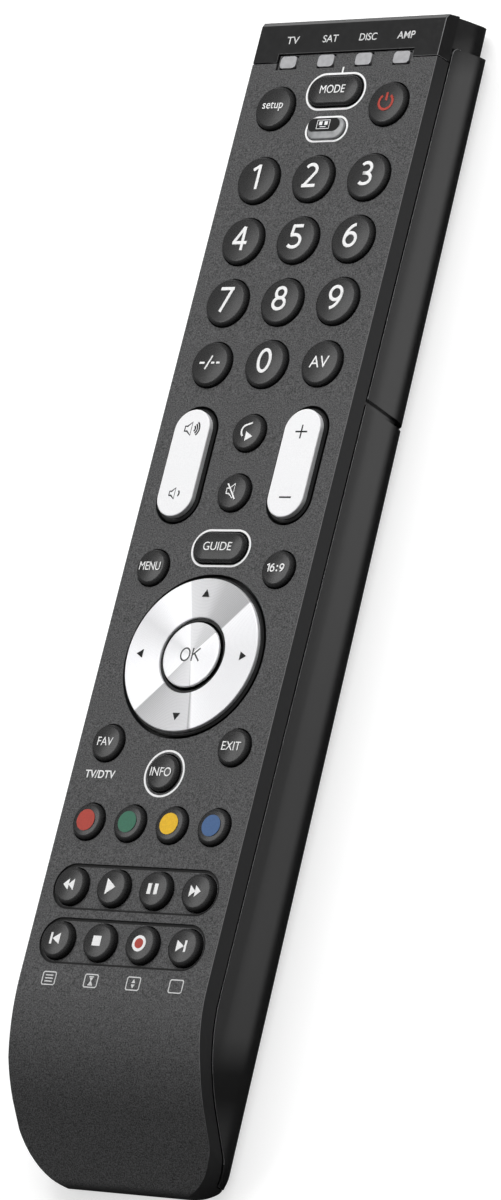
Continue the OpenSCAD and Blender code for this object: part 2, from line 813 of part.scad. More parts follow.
// Wrap-round cover of the lower back: hooked under the nose, held at the seam
module battery_cover() {
    top_end = seam_y - seam_gap / 2;
    color("#17181a") difference() {
        intersection() {
            difference() {
                envelope(0, 0);
                cavity(wall, 0);
            }
            along_x() behind_front(band_h + split_gap);
            y_slab(nose_y + split_gap, top_end);
        }
        intersection() {
            cavity(seam_recess - play / 2, 0);
            y_slab(top_end - seam_lip, reach);
        }
        for (i = [1:grip_count]) thumb_groove(top_end - (i + 1) * grip_pitch);
    }
}

module thumb_groove(y) {
    translate([0, y, y * rear_drop - case_h]) cube([grip_w, groove_w, 2 * groove_depth], center = true);
}

module keypad_mat() {
    high = mode_y + mode_l;
    color("#232324") translate([0, 0, -board_top]) linear_extrude(mat_t) difference() {
        translate([-board_half_w, board_foot_y]) square([2 * board_half_w, high - board_foot_y]);
        for (k = KEYS) translate(k[1]) pill(2 * (peg_r + play), k[3]);
        circle(peg_r + play);
        at_screws() circle(post_r + play);
    }
}

module circuit_board() {
    high = window_y + light_l;
    color("#1f5a38") translate([0, 0, -board_low]) linear_extrude(board_t) difference() {
        translate([-board_half_w, board_foot_y]) square([2 * board_half_w, high - board_foot_y]);
        at_screws() circle(post_r + play);
    }
}

module controller_chip() {
    color("#1a1a1a") translate([0, digits_y + 1.5 * digit_pitch_y, -board_low - chip_t / 2])
        cube([chip_w, chip_w, chip_t], center = true);
}

module resonator() {
    color("#b8892f") translate([-support_x, parts_y, -board_low - resonator_h / 2])
        cube([resonator_l, resonator_w, resonator_h], center = true);
}

module capacitor() {
    color("#22304a") translate([support_x, parts_y, -board_low - play / 3 - capacitor_d / 2])
        rotate([90, 0, 0]) cylinder(d = capacitor_d, h = capacitor_l, center = true);
}

module mode_leds() {
    color("#e8e4c8") at_lights() translate([0, 0, led_h / 2 - board_top])
        cube([led_w, led_l, led_h], center = true);
}

// Two infrared lamps look out through the window from under the end of the board
module ir_lamps() {
    r = ir_lamp_d / 2;
    base_y = window_y + light_l - ir_lamp_l / 2;
    color("#3a3350") for (side = [-1, 1])
        translate([side * half_w / 3, base_y, -board_low - play - r]) rotate([-90, 0, 0]) {
            cylinder(r = r, h = ir_lamp_l);
            translate([0, 0, ir_lamp_l]) intersection() {
                sphere(r);
                cylinder(r = r, h = r);
            }
        }
}

module case_screws() {
    color("#8d8f92") at_screws() translate([0, 0, -floor_low]) {
        cylinder(r = screw_r, h = screw_l);
        translate([0, 0, -screw_head_h]) difference() {
            cylinder(r = screw_head_r, h = screw_head_h);
            for (a = [0, 90]) rotate(a) cube([2 * screw_r, screw_slot_w, screw_head_h], center = true);
        }
    }
}

// A cell with its nub towards +Y
module cell() {
    color("#c9a227") rotate([-90, 0, 0]) translate([0, 0, -cell_l / 2]) {
        cylinder(d = cell_d, h = cell_l - nub_l);
        cylinder(r = nub_r, h = cell_l);
    }
}

module left_cell() {
    translate([-cell_x, bay_mid_y + spring_l / 2, cell_z]) cell();
}

module right_cell() {
    translate([cell_x, bay_mid_y - spring_l / 2, cell_z]) rotate([0, 0, 180]) cell();
}

// Wire helix of a battery spring, one unbroken tube
function helix_point(t) =
    let (a = 360 * spring_turns * t)
    [spring_r * cos(a), spring_r * sin(a), spring_wire / 2 + (spring_l - spring_wire) * t];

module spring_coil() {
    rings = 8 * spring_turns;
    sides = 6;
    last = rings * sides;
    points = [for (i = [0:rings], j = [0:sides - 1])
        let (a = 360 * spring_turns * i / rings, b = 360 * j / sides)
        helix_point(i / rings) + spring_wire / 2 * [cos(a) * cos(b), sin(a) * cos(b), sin(b)]];
    walls = [for (i = [0:rings - 1], j = [0:sides - 1])
        let (k = (j + 1) % sides, n = i * sides, m = n + sides)
        each [[n + j, m + j, m + k], [n + j, m + k, n + k]]];
    ends = [for (j = [1:sides - 2]) each [[0, j, j + 1], [last, last + j + 1, last + j]]];
    polyhedron(points, concat(walls, ends));
}

module battery_springs() {
    run = bay_l / 2 - contact_t;
    color("#b5b7ba") translate([0, bay_mid_y, cell_z]) {
        translate([-cell_x, -run, 0]) rotate([-90, 0, 0]) spring_coil();
        translate([cell_x, run, 0]) rotate([90, 0, 0]) spring_coil();
    }
}

// One bridging plate at the foot of the bay, one plate for each cell at its head
module battery_contacts() {
    run = (bay_l - contact_t) / 2;
    color("#c3c5c8") translate([0, bay_mid_y, cell_z]) {
        translate([0, -run, 0]) cube([2 * cell_x + contact_w, contact_t, contact_w], center = true);
        for (side = [-1, 1])
            translate([side * cell_x, run, 0]) cube([contact_w, contact_t, contact_w], center = true);
    }
}

// Black carrier of the ring: it rocks left and right on a rib along its middle
module nav_rocker() {
    disc_r = nav_r - carrier_rib_w;
    rib_l = 2 * (disc_r - carrier_rib_w);
    seat = nav_t - nav_h + play;
    disc_top = seat + disc_r * sin(nav_tilt) + play;
    color("#161617") difference() {
        union() {
            translate([0, 0, -carrier_low]) cylinder(r = carrier_r, h = carrier_flange_t);
            translate([0, 0, -carrier_low]) cylinder(r = disc_r, h = carrier_low - disc_top);
            translate([0, 0, -(carrier_low + seat) / 2])
                cube([rib_l, carrier_rib_w, carrier_low - seat], center = true);
            translate([0, 0, -(carrier_top + peg_low) / 2])
                cube([carrier_rib_w, rib_l, peg_low - carrier_top], center = true);
        }
        cylinder(r = ok_r + 2 * nav_gap, h = 4 * case_h, center = true);
    }
}

// Bright ring with a shallow dish towards the OK key: it rocks up and down on its carrier
module nav_ring() {
    inner = ok_r + nav_gap;
    plate_inner = inner + nav_lip;
    base = nav_h - nav_t;
    dished = nav_h - ring_dish;
    color("#c9cacc") rotate_extrude() polygon(concat(
        [[inner, base]],
        plate_points(nav_r, nav_r + nav_rim, nav_h, base),
        [[plate_inner + plate_edge, dished], [plate_inner, dished - plate_edge]],
        [[plate_inner, rim_h], [inner, rim_h]]));
}

module ok_key() {
    color("#c9cacc") rotate_extrude() polygon(concat(
        peg_points(),
        [[ok_r, -flange_low], [ok_r, nav_h - plate_edge], [ok_r - plate_edge, nav_h], [0, nav_h]]));
}

// Rocker across two switches: it tilts on the wings at its middle
module rocker(x) {
    rim = rocker_w / 2 + rocker_rim;
    wing_w = 2 * (rim + rocker_gap + flange_w);
    color("#d4d5d6") translate([x, rockers_y, 0]) rotate(90) {
        turned(rocker_l - rocker_w)
            polygon(concat(
                [[0, -rocker_low]],
                plate_points(rocker_w / 2, rim, rocker_h, -rocker_low),
                [[0, rocker_h]]));
        translate([0, 0, -rocker_low]) cube([rocker_wing_l, wing_w, rocker_wing_t], center = true);
        for (side = [-1, 1]) translate([side * rocker_peg_y, 0, -rocker_peg_low])
            cylinder(r = peg_r, h = rocker_peg_low - rocker_wing_top);
    }
}

module key(name, place, d, extra) {
    low_key = name == "activity_key";
    shade = low_key ? "#8d9092" : "#232325";
    h = low_key ? activity_h : key_h;
    color(shade) translate(place) turned(extra) key_profile(d / 2, h);
}

// Puts the finished case on its back
module lay_flat() {
    translate([0, -middle_y, case_h * cos(panel_tilt)]) rotate([-panel_tilt, 0, 0]) children();
}

lay_flat() front_cover();
lay_flat() signal_window();
lay_flat() light_guide();
lay_flat() rear_cover();
lay_flat() battery_cover();
lay_flat() keypad_mat();
lay_flat() circuit_board();
lay_flat() controller_chip();
lay_flat() resonator();
lay_flat() capacitor();
lay_flat() mode_leds();
lay_flat() ir_lamps();
lay_flat() case_screws();
lay_flat() left_cell();
lay_flat() right_cell();
lay_flat() battery_springs();
lay_flat() battery_contacts();
lay_flat() nav_rocker();
lay_flat() nav_ring();
lay_flat() ok_key();
for (r = ROCKERS) lay_flat() rocker(r[1]);
for (k = KEYS) lay_flat() key(k[0], k[1], k[2], k[3]);
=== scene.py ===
"""Looks of the universal remote control: soft-edged shells, domed keys, bright plates, printed legends.

Lengths are written in millimetres times MM, in panel coordinates: zero is the centre of the
navigation ring on the panel, +Y points to the signal window, +Z leaves the panel.
"""
import json
import math

import bmesh
import bpy
from mathutils import Euler, Matrix, Vector


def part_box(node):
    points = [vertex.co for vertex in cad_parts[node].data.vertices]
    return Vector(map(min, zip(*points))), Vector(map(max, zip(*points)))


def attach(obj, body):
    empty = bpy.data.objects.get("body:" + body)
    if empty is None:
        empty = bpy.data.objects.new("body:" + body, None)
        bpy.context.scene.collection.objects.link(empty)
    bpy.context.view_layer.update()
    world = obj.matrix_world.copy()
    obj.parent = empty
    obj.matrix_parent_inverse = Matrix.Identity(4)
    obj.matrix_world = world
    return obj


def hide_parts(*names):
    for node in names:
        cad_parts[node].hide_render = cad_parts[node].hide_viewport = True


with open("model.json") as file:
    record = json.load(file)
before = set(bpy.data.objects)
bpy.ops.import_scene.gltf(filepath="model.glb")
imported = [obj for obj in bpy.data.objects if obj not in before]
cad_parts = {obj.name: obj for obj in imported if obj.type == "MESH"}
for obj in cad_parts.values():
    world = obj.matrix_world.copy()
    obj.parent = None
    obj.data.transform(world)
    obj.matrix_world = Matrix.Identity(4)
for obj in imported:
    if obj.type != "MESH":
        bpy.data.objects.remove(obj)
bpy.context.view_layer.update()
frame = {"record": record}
bpy.ops.object.select_all(action="DESELECT")

MM = 0.001
TINY = 0.0001 * MM

# Camera of the photograph
CAMERA_PLACE = Vector((747.9, -314.3, 906.6)) * MM
CAMERA_TURN = Euler([math.radians(a) for a in (24.534, 35.269, 15.666)])
CAMERA_LENS = 190.5
CAMERA_SENSOR = 36
CAMERA_REACH = 20

# Case
EDGE_SOFT = 0.14 * MM
EDGE_STEPS = 2
SHARP_EDGE = math.radians(25)
FLAT_FACE = math.radians(0.5)
SHELL_WELD = 0.001 * MM
PANEL_BAND = 0.01 * MM
SIDE_X = 22.3 * MM
NOSE_Y = -92 * MM
NOSE_SLIT = 0.5 * MM
FOOT_BAND = 0.02 * MM
FOOT_DRAW = 0.32 * MM

# Mode lights
LIGHT_STEPS = (-1.5, -0.5, 0.5, 1.5)
LIGHT_PITCH = 9.2 * MM
LIGHT_SIZE = (3.9 * MM, 2.6 * MM)
LIGHT_TOP = -0.1 * MM
LIGHT_FOOT = -3.711 * MM
LIGHT_BAR_TOP = -1.9 * MM
LIGHT_CORNER = 0.75 * MM
LIGHT_CORNER_STEPS = 5

# Keys
KEY_HEIGHT = 1.2 * MM
ACTIVITY_HEIGHT = 0.7 * MM
KEY_SHOULDER = 0.8 * MM
SHOULDER_SHARE = 0.8
SHOULDER_STEPS = 10
KEY_CROWN = 0.2 * MM
CROWN_RINGS = 4
CROWN_SHARE = 0.9
FLANGE_WIDTH = 0.5 * MM
FLANGE_DEPTH = 1.85 * MM
FLANGE_THICK = 0.7 * MM
PEG_RADIUS = 1.4 * MM
ROUND_WITHIN = 0.2 * MM
ROUND_SIDES = 96

# Ring, rockers and their bright plates
RING_PIVOT_DEPTH = 0.9 * MM
RING_HEIGHT = 1.0 * MM
RING_DISH = 0.35 * MM
RING_RIM = 0.65 * MM
RING_LIP = 0.6 * MM
RING_GAP = 0.5 * MM
RING_CORNER_STEPS = 4
RIM_HEIGHT = 0.2 * MM
ROCKER_HEIGHT = 1.3 * MM
ROCKER_RIM = 0.7 * MM
WING_WIDTH = 0.95 * MM
PLATE_EDGE = 0.25 * MM
PLATE_STEPS = 5
FOIL = 0.03 * MM
INK = 0.03 * MM

joint_of = {joint["name"]: joint for joint in frame["record"]["behaviour"]["joints"]}
panel_normal = -Vector(joint_of["ok_key_press"]["axis"])
panel_zero = Vector(joint_of["nav_rock_along"]["pos_m"]) + RING_PIVOT_DEPTH * panel_normal
panel_turn = Matrix.Rotation(-math.atan2(panel_normal.y, panel_normal.z), 4, "X")
panel = Matrix.Translation(panel_zero) @ panel_turn
to_panel = panel.inverted()
moving_bodies = frame["record"]["behaviour"]["bodies"]


def node_place(node):
    """Centre of a node on the panel, in panel coordinates."""
    low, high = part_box(node)
    centre = to_panel @ ((low + high) / 2)
    return Vector((centre.x, centre.y, 0))


def panel_spot(corner):
    """Place of a mesh corner in panel coordinates."""
    return to_panel @ corner.co


# Nodes of the materials and of the world, which owns nodes in the same way

# Places of a Mix node's share, two colours and result
MIX_SHARE, MIX_FIRST, MIX_SECOND, MIX_RESULT = 0, 6, 7, 2


def feed(owner, value, node, entry):
    """Leads an output into a node's input, or sets the input to a plain value."""
    if isinstance(value, bpy.types.NodeSocket):
        owner.node_tree.links.new(value, node.inputs[entry])
    else:
        node.inputs[entry].default_value = value


def add_node(owner, kind, **values):
    """A node with its properties and inputs set by name."""
    node = owner.node_tree.nodes.new(kind)
    for key, value in values.items():
        if key in node.inputs:
            feed(owner, value, node, key)
        else:
            setattr(node, key, value)
    return node


def coordinate(owner, kind):
    """One sort of texture coordinate."""
    return add_node(owner, "ShaderNodeTexCoord").outputs[kind]


def axes_of(owner, kind):
    """X, Y and Z of one sort of texture coordinate."""
    return add_node(owner, "ShaderNodeSeparateXYZ", Vector=coordinate(owner, kind)).outputs


def worked_out(owner, operation, *values):
    """Result of a sum with fields and plain numbers."""
    node = add_node(owner, "ShaderNodeMath", operation=operation)
    for entry, value in enumerate(values):
        feed(owner, value, node, entry)
    return node.outputs["Value"]


def remapped(owner, field, spread=(0, 1), ends=(0, 1)):
    """A field that runs over a spread, brought between two ends and held there."""
    node = add_node(owner, "ShaderNodeMapRange", Value=field)
    for entry, limit in zip(("From Min", "From Max", "To Min", "To Max"), (*spread, *ends)):
        node.inputs[entry].default_value = limit
    return node.outputs["Result"]


def ramped(owner, field, stops):
    """A field led through a ramp of positions and colours."""
    ramp = add_node(owner, "ShaderNodeValToRGB", Fac=field)
    elements = ramp.color_ramp.elements
    while len(elements) < len(stops):
        elements.new(0.5)
    for element, (position, colour) in zip(elements, stops):
        element.position = position
        element.color = (*colour, 1)
    return ramp.outputs["Color"]


def blended(owner, share, first, second):
    """A colour between two others."""
    mix = add_node(owner, "ShaderNodeMix", data_type="RGBA")
    for entry, value in ((MIX_SHARE, share), (MIX_FIRST, first), (MIX_SECOND, second)):
        feed(owner, value, mix, entry)
    return mix.outputs[MIX_RESULT]


# Finishes

COOL_SHARE = 1.02
NOISE_DETAIL = 2.0
# Where in the noise the dark and the light shade are reached, and how far the roughness strays
GRAIN_SPREAD = (0.3, 0.7)
GRAIN_GLOSS = 0.06
DRIFT_SPREAD = (0.35, 0.65)
DRIFT_GLOSS = 0.05

# The face of the panel: where its sides begin, by how far they look up, and their colour, which is partly
# their own darker tone and partly painted shade on faces turned from the light above
PANEL_TURN = (0.35, 0.7)
PANEL_SIDE_AND_SHADE = (0.022, 0.022, 0.023, 1)

# Pale edge lines: how far an edge has turned aside and how strong its line is there; how far it looks up
EDGE_TURN = ((0.15, 0.0), (0.35, 1.0), (0.9, 1.0), (0.97, 0.0))
EDGE_UPWARD = 0.2

# Spun plates: share of a turn about the ring's axis, and the brightness painted there; the greyer sectors
# are a painted reflection, the turned metal's sheen set into its colour
SPUN_PAINTED_SHEEN = (
    (0.0, 0.85), (0.06, 0.95), (0.134, 0.97), (0.136, 0.42), (0.20, 0.56), (0.286, 0.68), (0.290, 0.30),
    (0.295, 0.97), (0.36, 0.90), (0.5, 0.86), (0.60, 0.95), (0.621, 0.97), (0.623, 0.42), (0.70, 0.48),
    (0.73, 0.62), (0.795, 0.70), (0.797, 0.97), (0.86, 0.93), (0.92, 0.66), (1.0, 0.85),
)
SPUN_COLOUR = (0.95, 0.95, 0.96)
SPUN_PITCH = 0.9 * MM
SPUN_RELIEF = 0.004 * MM
SPUN_GLOSS = (0.26, 0.36)


def grey(value):
    """A slightly cool grey."""
    return (value, value, value * COOL_SHARE)


def shader_of(material):
    """The shader that a finish ends in."""
    return material.node_tree.nodes["Principled BSDF"]


def base_colour(material):
    """The output that a finish takes its colour from."""
    return shader_of(material).inputs["Base Color"].links[0].from_socket


def plain_finish(name, colour, roughness, metallic=0.0):
    """A material with the sockets that are the same all over its surface."""
    material = bpy.data.materials.new(name)
    material.use_nodes = True
    shader = shader_of(material)
    shader.inputs["Base Color"].default_value = (*colour, 1)
    shader.inputs["Roughness"].default_value = roughness
    shader.inputs["Metallic"].default_value = metallic
    return material


def noise_field(material, grain_size):
    """Noise on object coordinates, with grains of about the given size."""
    noise = add_node(material, "ShaderNodeTexNoise", Vector=coordinate(material, "Object"),
                     Scale=1 / grain_size, Detail=NOISE_DETAIL)
    return noise.outputs["Fac"]


def colour_by(material, field, stops):
    """Base colour from a field, through a ramp of positions and colours."""
    feed(material, ramped(material, field, stops), shader_of(material), "Base Color")


def roughness_by(material, field, low, high):
    """Roughness from a field."""
    feed(material, remapped(material, field, ends=(low, high)), shader_of(material), "Roughness")


def bump_by(material, field, height, strength=1.0):
    """Fine relief from a field."""
    bump = add_node(material, "ShaderNodeBump", Strength=strength, Distance=height, Height=field)
    feed(material, bump.outputs["Normal"], shader_of(material), "Normal")


def moulded(name, dark, light, roughness, grain_size, height):
    """Moulded plastic: a fine grain in colour, gloss and relief."""
    material = plain_finish(name, grey(light), roughness)
    noise = noise_field(material, grain_size)
    colour_by(material, noise, list(zip(GRAIN_SPREAD, (grey(dark), grey(light)))))
    roughness_by(material, noise, roughness - GRAIN_GLOSS, roughness + GRAIN_GLOSS)
    bump_by(material, noise, height)
    return material


def tinted(name, dark, light, roughness, grain_size, metallic=0.0):
    """A coloured finish with a slight drift of shade."""
    material = plain_finish(name, light, roughness, metallic)
    noise = noise_field(material, grain_size)
    colour_by(material, noise, list(zip(DRIFT_SPREAD, (dark, light))))
    roughness_by(material, noise, roughness - DRIFT_GLOSS, roughness + DRIFT_GLOSS)
    return material


def spun_metal(name, depth):
    """Bright metal turned on a lathe: fine circles, and two greyer sectors that are a painted reflection,
    the turned metal's sheen set into its colour.
    """
    material = plain_finish(name, SPUN_COLOUR, roughness=0.32, metallic=0.15)
    mapping = add_node(material, "ShaderNodeMapping", vector_type="POINT",
                       Vector=coordinate(material, "Object"), Location=-panel_zero)
    centred = mapping.outputs["Vector"]
    # Painted reflection: brightness by angle round the axis, the sheen of the turned metal painted into the
    # base colour
    sheen_sector = add_node(material, "ShaderNodeTexGradient", gradient_type="RADIAL", Vector=centred)
    painted_sheen = [(place, grey(1 - depth * (1 - shade))) for place, shade in SPUN_PAINTED_SHEEN]
    colour_by(material, sheen_sector.outputs["Fac"], painted_sheen)
    wave = add_node(material, "ShaderNodeTexWave", wave_type="RINGS", rings_direction="Z", Vector=centred,
                    Scale=1 / SPUN_PITCH, Distortion=0.6, Detail=NOISE_DETAIL)
    rings = wave.outputs["Fac"]
    bump_by(material, rings, SPUN_RELIEF, strength=0.5)
    roughness_by(material, rings, *SPUN_GLOSS)
    return material


def panel_plastic():
    """Grained face of the front cover, with smoother and darker sides; the darkening by how far a face looks
    up is partly painted shade.
    """
    material = moulded("panel_grain", dark=0.006, light=0.116, roughness=0.56, grain_size=0.26 * MM,
                       height=0.03 * MM)
    upward = remapped(material, axes_of(material, "Normal")["Z"], PANEL_TURN)
    # Sides darker by how far they turn from looking up: partly their own tone, partly painted shade
    shaded = blended(material, upward, PANEL_SIDE_AND_SHADE, base_colour(material))
    feed(material, shaded, shader_of(material), "Base Color")
    return material


def side_line(material, tone):
    """A thin pale line where the long upper edges of the case catch the light."""
    place, facing = axes_of(material, "Object"), axes_of(material, "Normal")
    aside = worked_out(material, "ABSOLUTE", place["X"])
    at_side = worked_out(material, "GREATER_THAN", aside, SIDE_X)
    upward = worked_out(material, "GREATER_THAN", facing["Z"], EDGE_UPWARD)
    upper_side = worked_out(material, "MULTIPLY", at_side, upward)
    turned = worked_out(material, "ABSOLUTE", facing["X"])
    on_edge = ramped(material, turned, [(turn, (level,) * 3) for turn, level in EDGE_TURN])
    line = worked_out(material, "MULTIPLY", upper_side, on_edge)
    lined = blended(material, line, base_colour(material), (*grey(tone), 1))
    feed(material, lined, shader_of(material), "Base Color")


# Moulded plastics: dark and light grey, roughness, size and height of the grain
panel_grain = panel_plastic()
gloss_shell = moulded("gloss_shell", 0.016, 0.020, 0.14, 0.9 * MM, 0.0006 * MM)
gloss_window = moulded("gloss_window", 0.012, 0.016, 0.10, 1.2 * MM, 0.0002 * MM)
satin_key = moulded("satin_key", 0.014, 0.022, 0.28, 0.22 * MM, 0.003 * MM)
gloss_base = moulded("gloss_base", 0.008, 0.011, 0.16, 0.8 * MM, 0.0006 * MM)
black_carrier = moulded("black_carrier", 0.010, 0.014, 0.45, 0.4 * MM, 0.004 * MM)
mat_rubber = moulded("mat_rubber", 0.022, 0.034, 0.7, 0.5 * MM, 0.01 * MM)
chip_case = moulded("chip_case", 0.012, 0.022, 0.55, 0.2 * MM, 0.006 * MM)

# Other finishes: dark and light colour, roughness, size of the drift, metallic share
smoke_cap = tinted("smoke_cap", (0.24, 0.245, 0.25), (0.32, 0.325, 0.33), 0.2, 1.5 * MM)
silver_lacquer = tinted("silver_lacquer", (0.86, 0.86, 0.87), (0.92, 0.92, 0.93), 0.3, 0.2 * MM)
milky_light = tinted("milky_light", (0.35, 0.35, 0.36), (0.41, 0.41, 0.42), 0.3, 1.0 * MM)
white_ink = tinted("white_ink", (0.82, 0.82, 0.82), (0.9, 0.9, 0.9), 0.5, 0.3 * MM)
pale_ink = tinted("pale_ink", (0.62, 0.62, 0.62), (0.7, 0.7, 0.7), 0.5, 0.3 * MM)
# Dark ink for the prints, also laid as painted shade round the transport rows' recesses
dark_ink_and_shade = tinted("dark_ink_and_shade", (0.006, 0.006, 0.006), (0.01, 0.01, 0.01), 0.7, 0.3 * MM)
grey_ink = tinted("grey_ink", (0.03, 0.03, 0.03), (0.06, 0.06, 0.06), 0.45, 0.3 * MM)
red_ink = tinted("red_ink", (0.36, 0.036, 0.022), (0.42, 0.045, 0.028), 0.45, 0.3 * MM)
green_ink = tinted("green_ink", (0.022, 0.12, 0.07), (0.03, 0.145, 0.088), 0.45, 0.3 * MM)
yellow_ink = tinted("yellow_ink", (0.72, 0.42, 0.004), (0.82, 0.49, 0.008), 0.45, 0.3 * MM)
blue_ink = tinted("blue_ink", (0.036, 0.095, 0.23), (0.046, 0.115, 0.27), 0.45, 0.3 * MM)
board_resist = tinted("board_resist", (0.012, 0.09, 0.04), (0.02, 0.13, 0.06), 0.3, 2 * MM)
ochre_dip = tinted("ochre_dip", (0.38, 0.20, 0.03), (0.48, 0.27, 0.05), 0.35, 1 * MM)
blue_sleeve = tinted("blue_sleeve", (0.015, 0.022, 0.055), (0.024, 0.034, 0.08), 0.3, 1 * MM)
pale_lamp = tinted("pale_lamp", (0.72, 0.70, 0.52), (0.82, 0.8, 0.62), 0.25, 0.5 * MM)
violet_lens = tinted("violet_lens", (0.03, 0.024, 0.07), (0.045, 0.034, 0.09), 0.08, 1 * MM)
zinc_steel = tinted("zinc_steel", (0.46, 0.46, 0.48), (0.56, 0.56, 0.58), 0.34, 0.4 * MM, 1.0)
nickel_steel = tinted("nickel_steel", (0.56, 0.56, 0.58), (0.66, 0.66, 0.68), 0.28, 0.6 * MM, 1.0)
cell_foil = tinted("cell_foil", (0.40, 0.28, 0.05), (0.5, 0.36, 0.07), 0.3, 3 * MM, 0.8)
# Ring and OK plates, with their painted reflection sectors at full and at lower strength
ring_spun = spun_metal("ring_spun", 1.0)
disc_spun = spun_metal("disc_spun", 0.7)

for case_finish, edge_tone in ((panel_grain, 0.24), (gloss_window, 0.34), (gloss_shell, 0.5)):
    side_line(case_finish, edge_tone)

NODE_FINISHES = {
    "front_cover": panel_grain, "signal_window": gloss_window, "rear_cover": gloss_shell,
    "battery_cover": gloss_shell, "light_guide": milky_light, "keypad_mat": mat_rubber,
    "circuit_board": board_resist, "controller_chip": chip_case, "resonator": ochre_dip,
    "capacitor": blue_sleeve, "mode_leds": pale_lamp, "ir_lamps": violet_lens,
    "case_screws": zinc_steel, "left_cell": cell_foil, "right_cell": cell_foil,
    "battery_springs": nickel_steel, "battery_contacts": nickel_steel, "nav_rocker": black_carrier,
    "nav_ring": gloss_base, "ok_key": gloss_base, "volume_rocker": gloss_base,
    "channel_rocker": gloss_base,
}
for node_name, finish in NODE_FINISHES.items():
    bpy.data.objects[node_name].material_slots[0].material = finish


# Modelling by hand

LEVEL_FACE = 0.9
SMOOTH_BELOW = 40
SHELL_SMOOTH_BELOW = 30


def pick(*objects):
    """Selects these objects alone and makes the first one active; with none, clears the selection."""
    bpy.ops.object.select_all(action="DESELECT")
    for obj in objects:
        obj.select_set(True)
    if objects:
        bpy.context.view_layer.objects.active = objects[0]


def apply_place():
    """Moves the selected objects' place, turn and size into their meshes."""
    bpy.ops.object.transform_apply(location=True, rotation=True, scale=True)


def edit(obj):
    """Opens one object in edit mode."""
    pick(obj)
    bpy.ops.object.mode_set(mode="EDIT")


def leave_edit():
    """Goes back to object mode."""
    bpy.ops.object.mode_set(mode="OBJECT")


def choose(mode, wanted):
    """Selects in edit mode the faces, edges or corners that pass a test."""
    bpy.ops.mesh.select_mode(type=mode)
    bpy.ops.mesh.select_all(action="DESELECT")
    mesh = bmesh.from_edit_mesh(bpy.context.object.data)
    parts = {"FACE": mesh.faces, "EDGE": mesh.edges, "VERT": mesh.verts}[mode]
    for part in parts:
        part.select_set(wanted(part))
    mesh.select_flush_mode()
    bmesh.update_edit_mesh(bpy.context.object.data)


def choose_all():
    """Selects the whole mesh in edit mode."""
    bpy.ops.mesh.select_all(action="SELECT")


def faces_at(height, up):
    """Test for the level faces at a height that look up or down."""
    return lambda face: (face.normal.z * up > LEVEL_FACE
                         and abs(face.calc_center_median().z - height) < TINY)


def start_cylinder(radius, low, high, sides=ROUND_SIDES):
    """A cylinder to shape, turned so that no corner lies on an axis."""
    pick()
    bpy.ops.mesh.primitive_cylinder_add(
        vertices=sides, radius=radius, depth=high - low, end_fill_type="NGON",
        location=(0, 0, (low + high) / 2), rotation=(0, 0, math.pi / sides))
    apply_place()
    obj = bpy.context.object
    edit(obj)
    return obj


def start_box(wide, long, low, high):
    """A box to shape, about the axis."""
    pick()
    bpy.ops.mesh.primitive_cube_add(size=1, location=(0, 0, (low + high) / 2))
    obj = bpy.context.object
    obj.scale = (wide, long, high - low)
    apply_place()
    edit(obj)
    return obj


def stretch(extra, axis):
    """Draws the two halves apart, which makes a bar with round ends."""
    for side in (-1, 1):
        choose("VERT", lambda corner: corner.co[axis] * side > 0)
        move = [0, 0, 0]
        move[axis] = side * extra / 2
        bpy.ops.transform.translate(value=move)


def raise_faces(height):
    """Extrudes the chosen faces."""
    bpy.ops.mesh.extrude_region_move(TRANSFORM_OT_translate={"value": (0, 0, height)})


def round_off(offset, steps, parts="EDGES"):
    """Rounds the chosen edges or corners."""
    bpy.ops.mesh.bevel(offset=offset, segments=steps, profile=0.5, affect=parts)


def soften_rim(offset, steps):
    """Rounds the edge round the chosen faces."""
    bpy.ops.mesh.region_to_loop()
    round_off(offset, steps)


def smooth(obj, degrees=SMOOTH_BELOW):
    """Smooth shading up to an angle, with normals that follow the larger faces."""
    pick(obj)
    bpy.ops.object.shade_smooth_by_angle(angle=math.radians(degrees))
    obj.modifiers.new("even_normals", "WEIGHTED_NORMAL").keep_sharp = True
    bpy.ops.object.modifier_apply(modifier="even_normals")


def keep(obj, name, finish, body, replaced=()):
    """Names a finished piece, gives it its finish and lets it ride on a body."""
    obj.name = name
    obj.data.name = name
    obj.data.materials.clear()
    obj.data.materials.append(finish)
    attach(obj, body)
    if replaced:
        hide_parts(*replaced)


def settle(obj, name, place, finish, body, replaced=()):
    """Lays a finished shape on the panel, with its place in its mesh."""
    pick(obj)
    obj.matrix_world = panel @ place @ obj.matrix_world
    apply_place()
    keep(obj, name, finish, body, replaced)


def copy_of(obj):
    """A copy with its own mesh."""
    twin = obj.copy()
    twin.data = obj.data.copy()
    bpy.context.scene.collection.objects.link(twin)
    return twin


def shifted(obj, x, y):
    """A shape moved along the panel in its mesh."""
    obj.data.transform(Matrix.Translation((x, y, 0)))
    return obj


def joined(pieces):
    """Several bits as one piece."""
    pick(*pieces)
    if len(pieces) > 1:
        bpy.ops.object.join()
    return bpy.context.object


# Shells

foot_y = min(panel_spot(corner).y for corner in bpy.data.objects["battery_cover"].data.vertices)


def touched_edge(edge):
    """Test for the sharp outward edges of the case that a hand can touch, but not those of the nose slit."""
    if not edge.is_manifold or edge.calc_face_angle_signed() < SHARP_EDGE:
        return False
    spots = [panel_spot(corner) for corner in edge.verts]
    on_panel = all(abs(spot.z) < PANEL_BAND for spot in spots)
    at_side = all(abs(spot.x) > SIDE_X for spot in spots)
    at_nose = all(spot.y < NOSE_Y for spot in spots)
    at_slit = all(abs(spot.y - foot_y) < NOSE_SLIT for spot in spots)
    return (on_panel or at_side or at_nose) and not at_slit


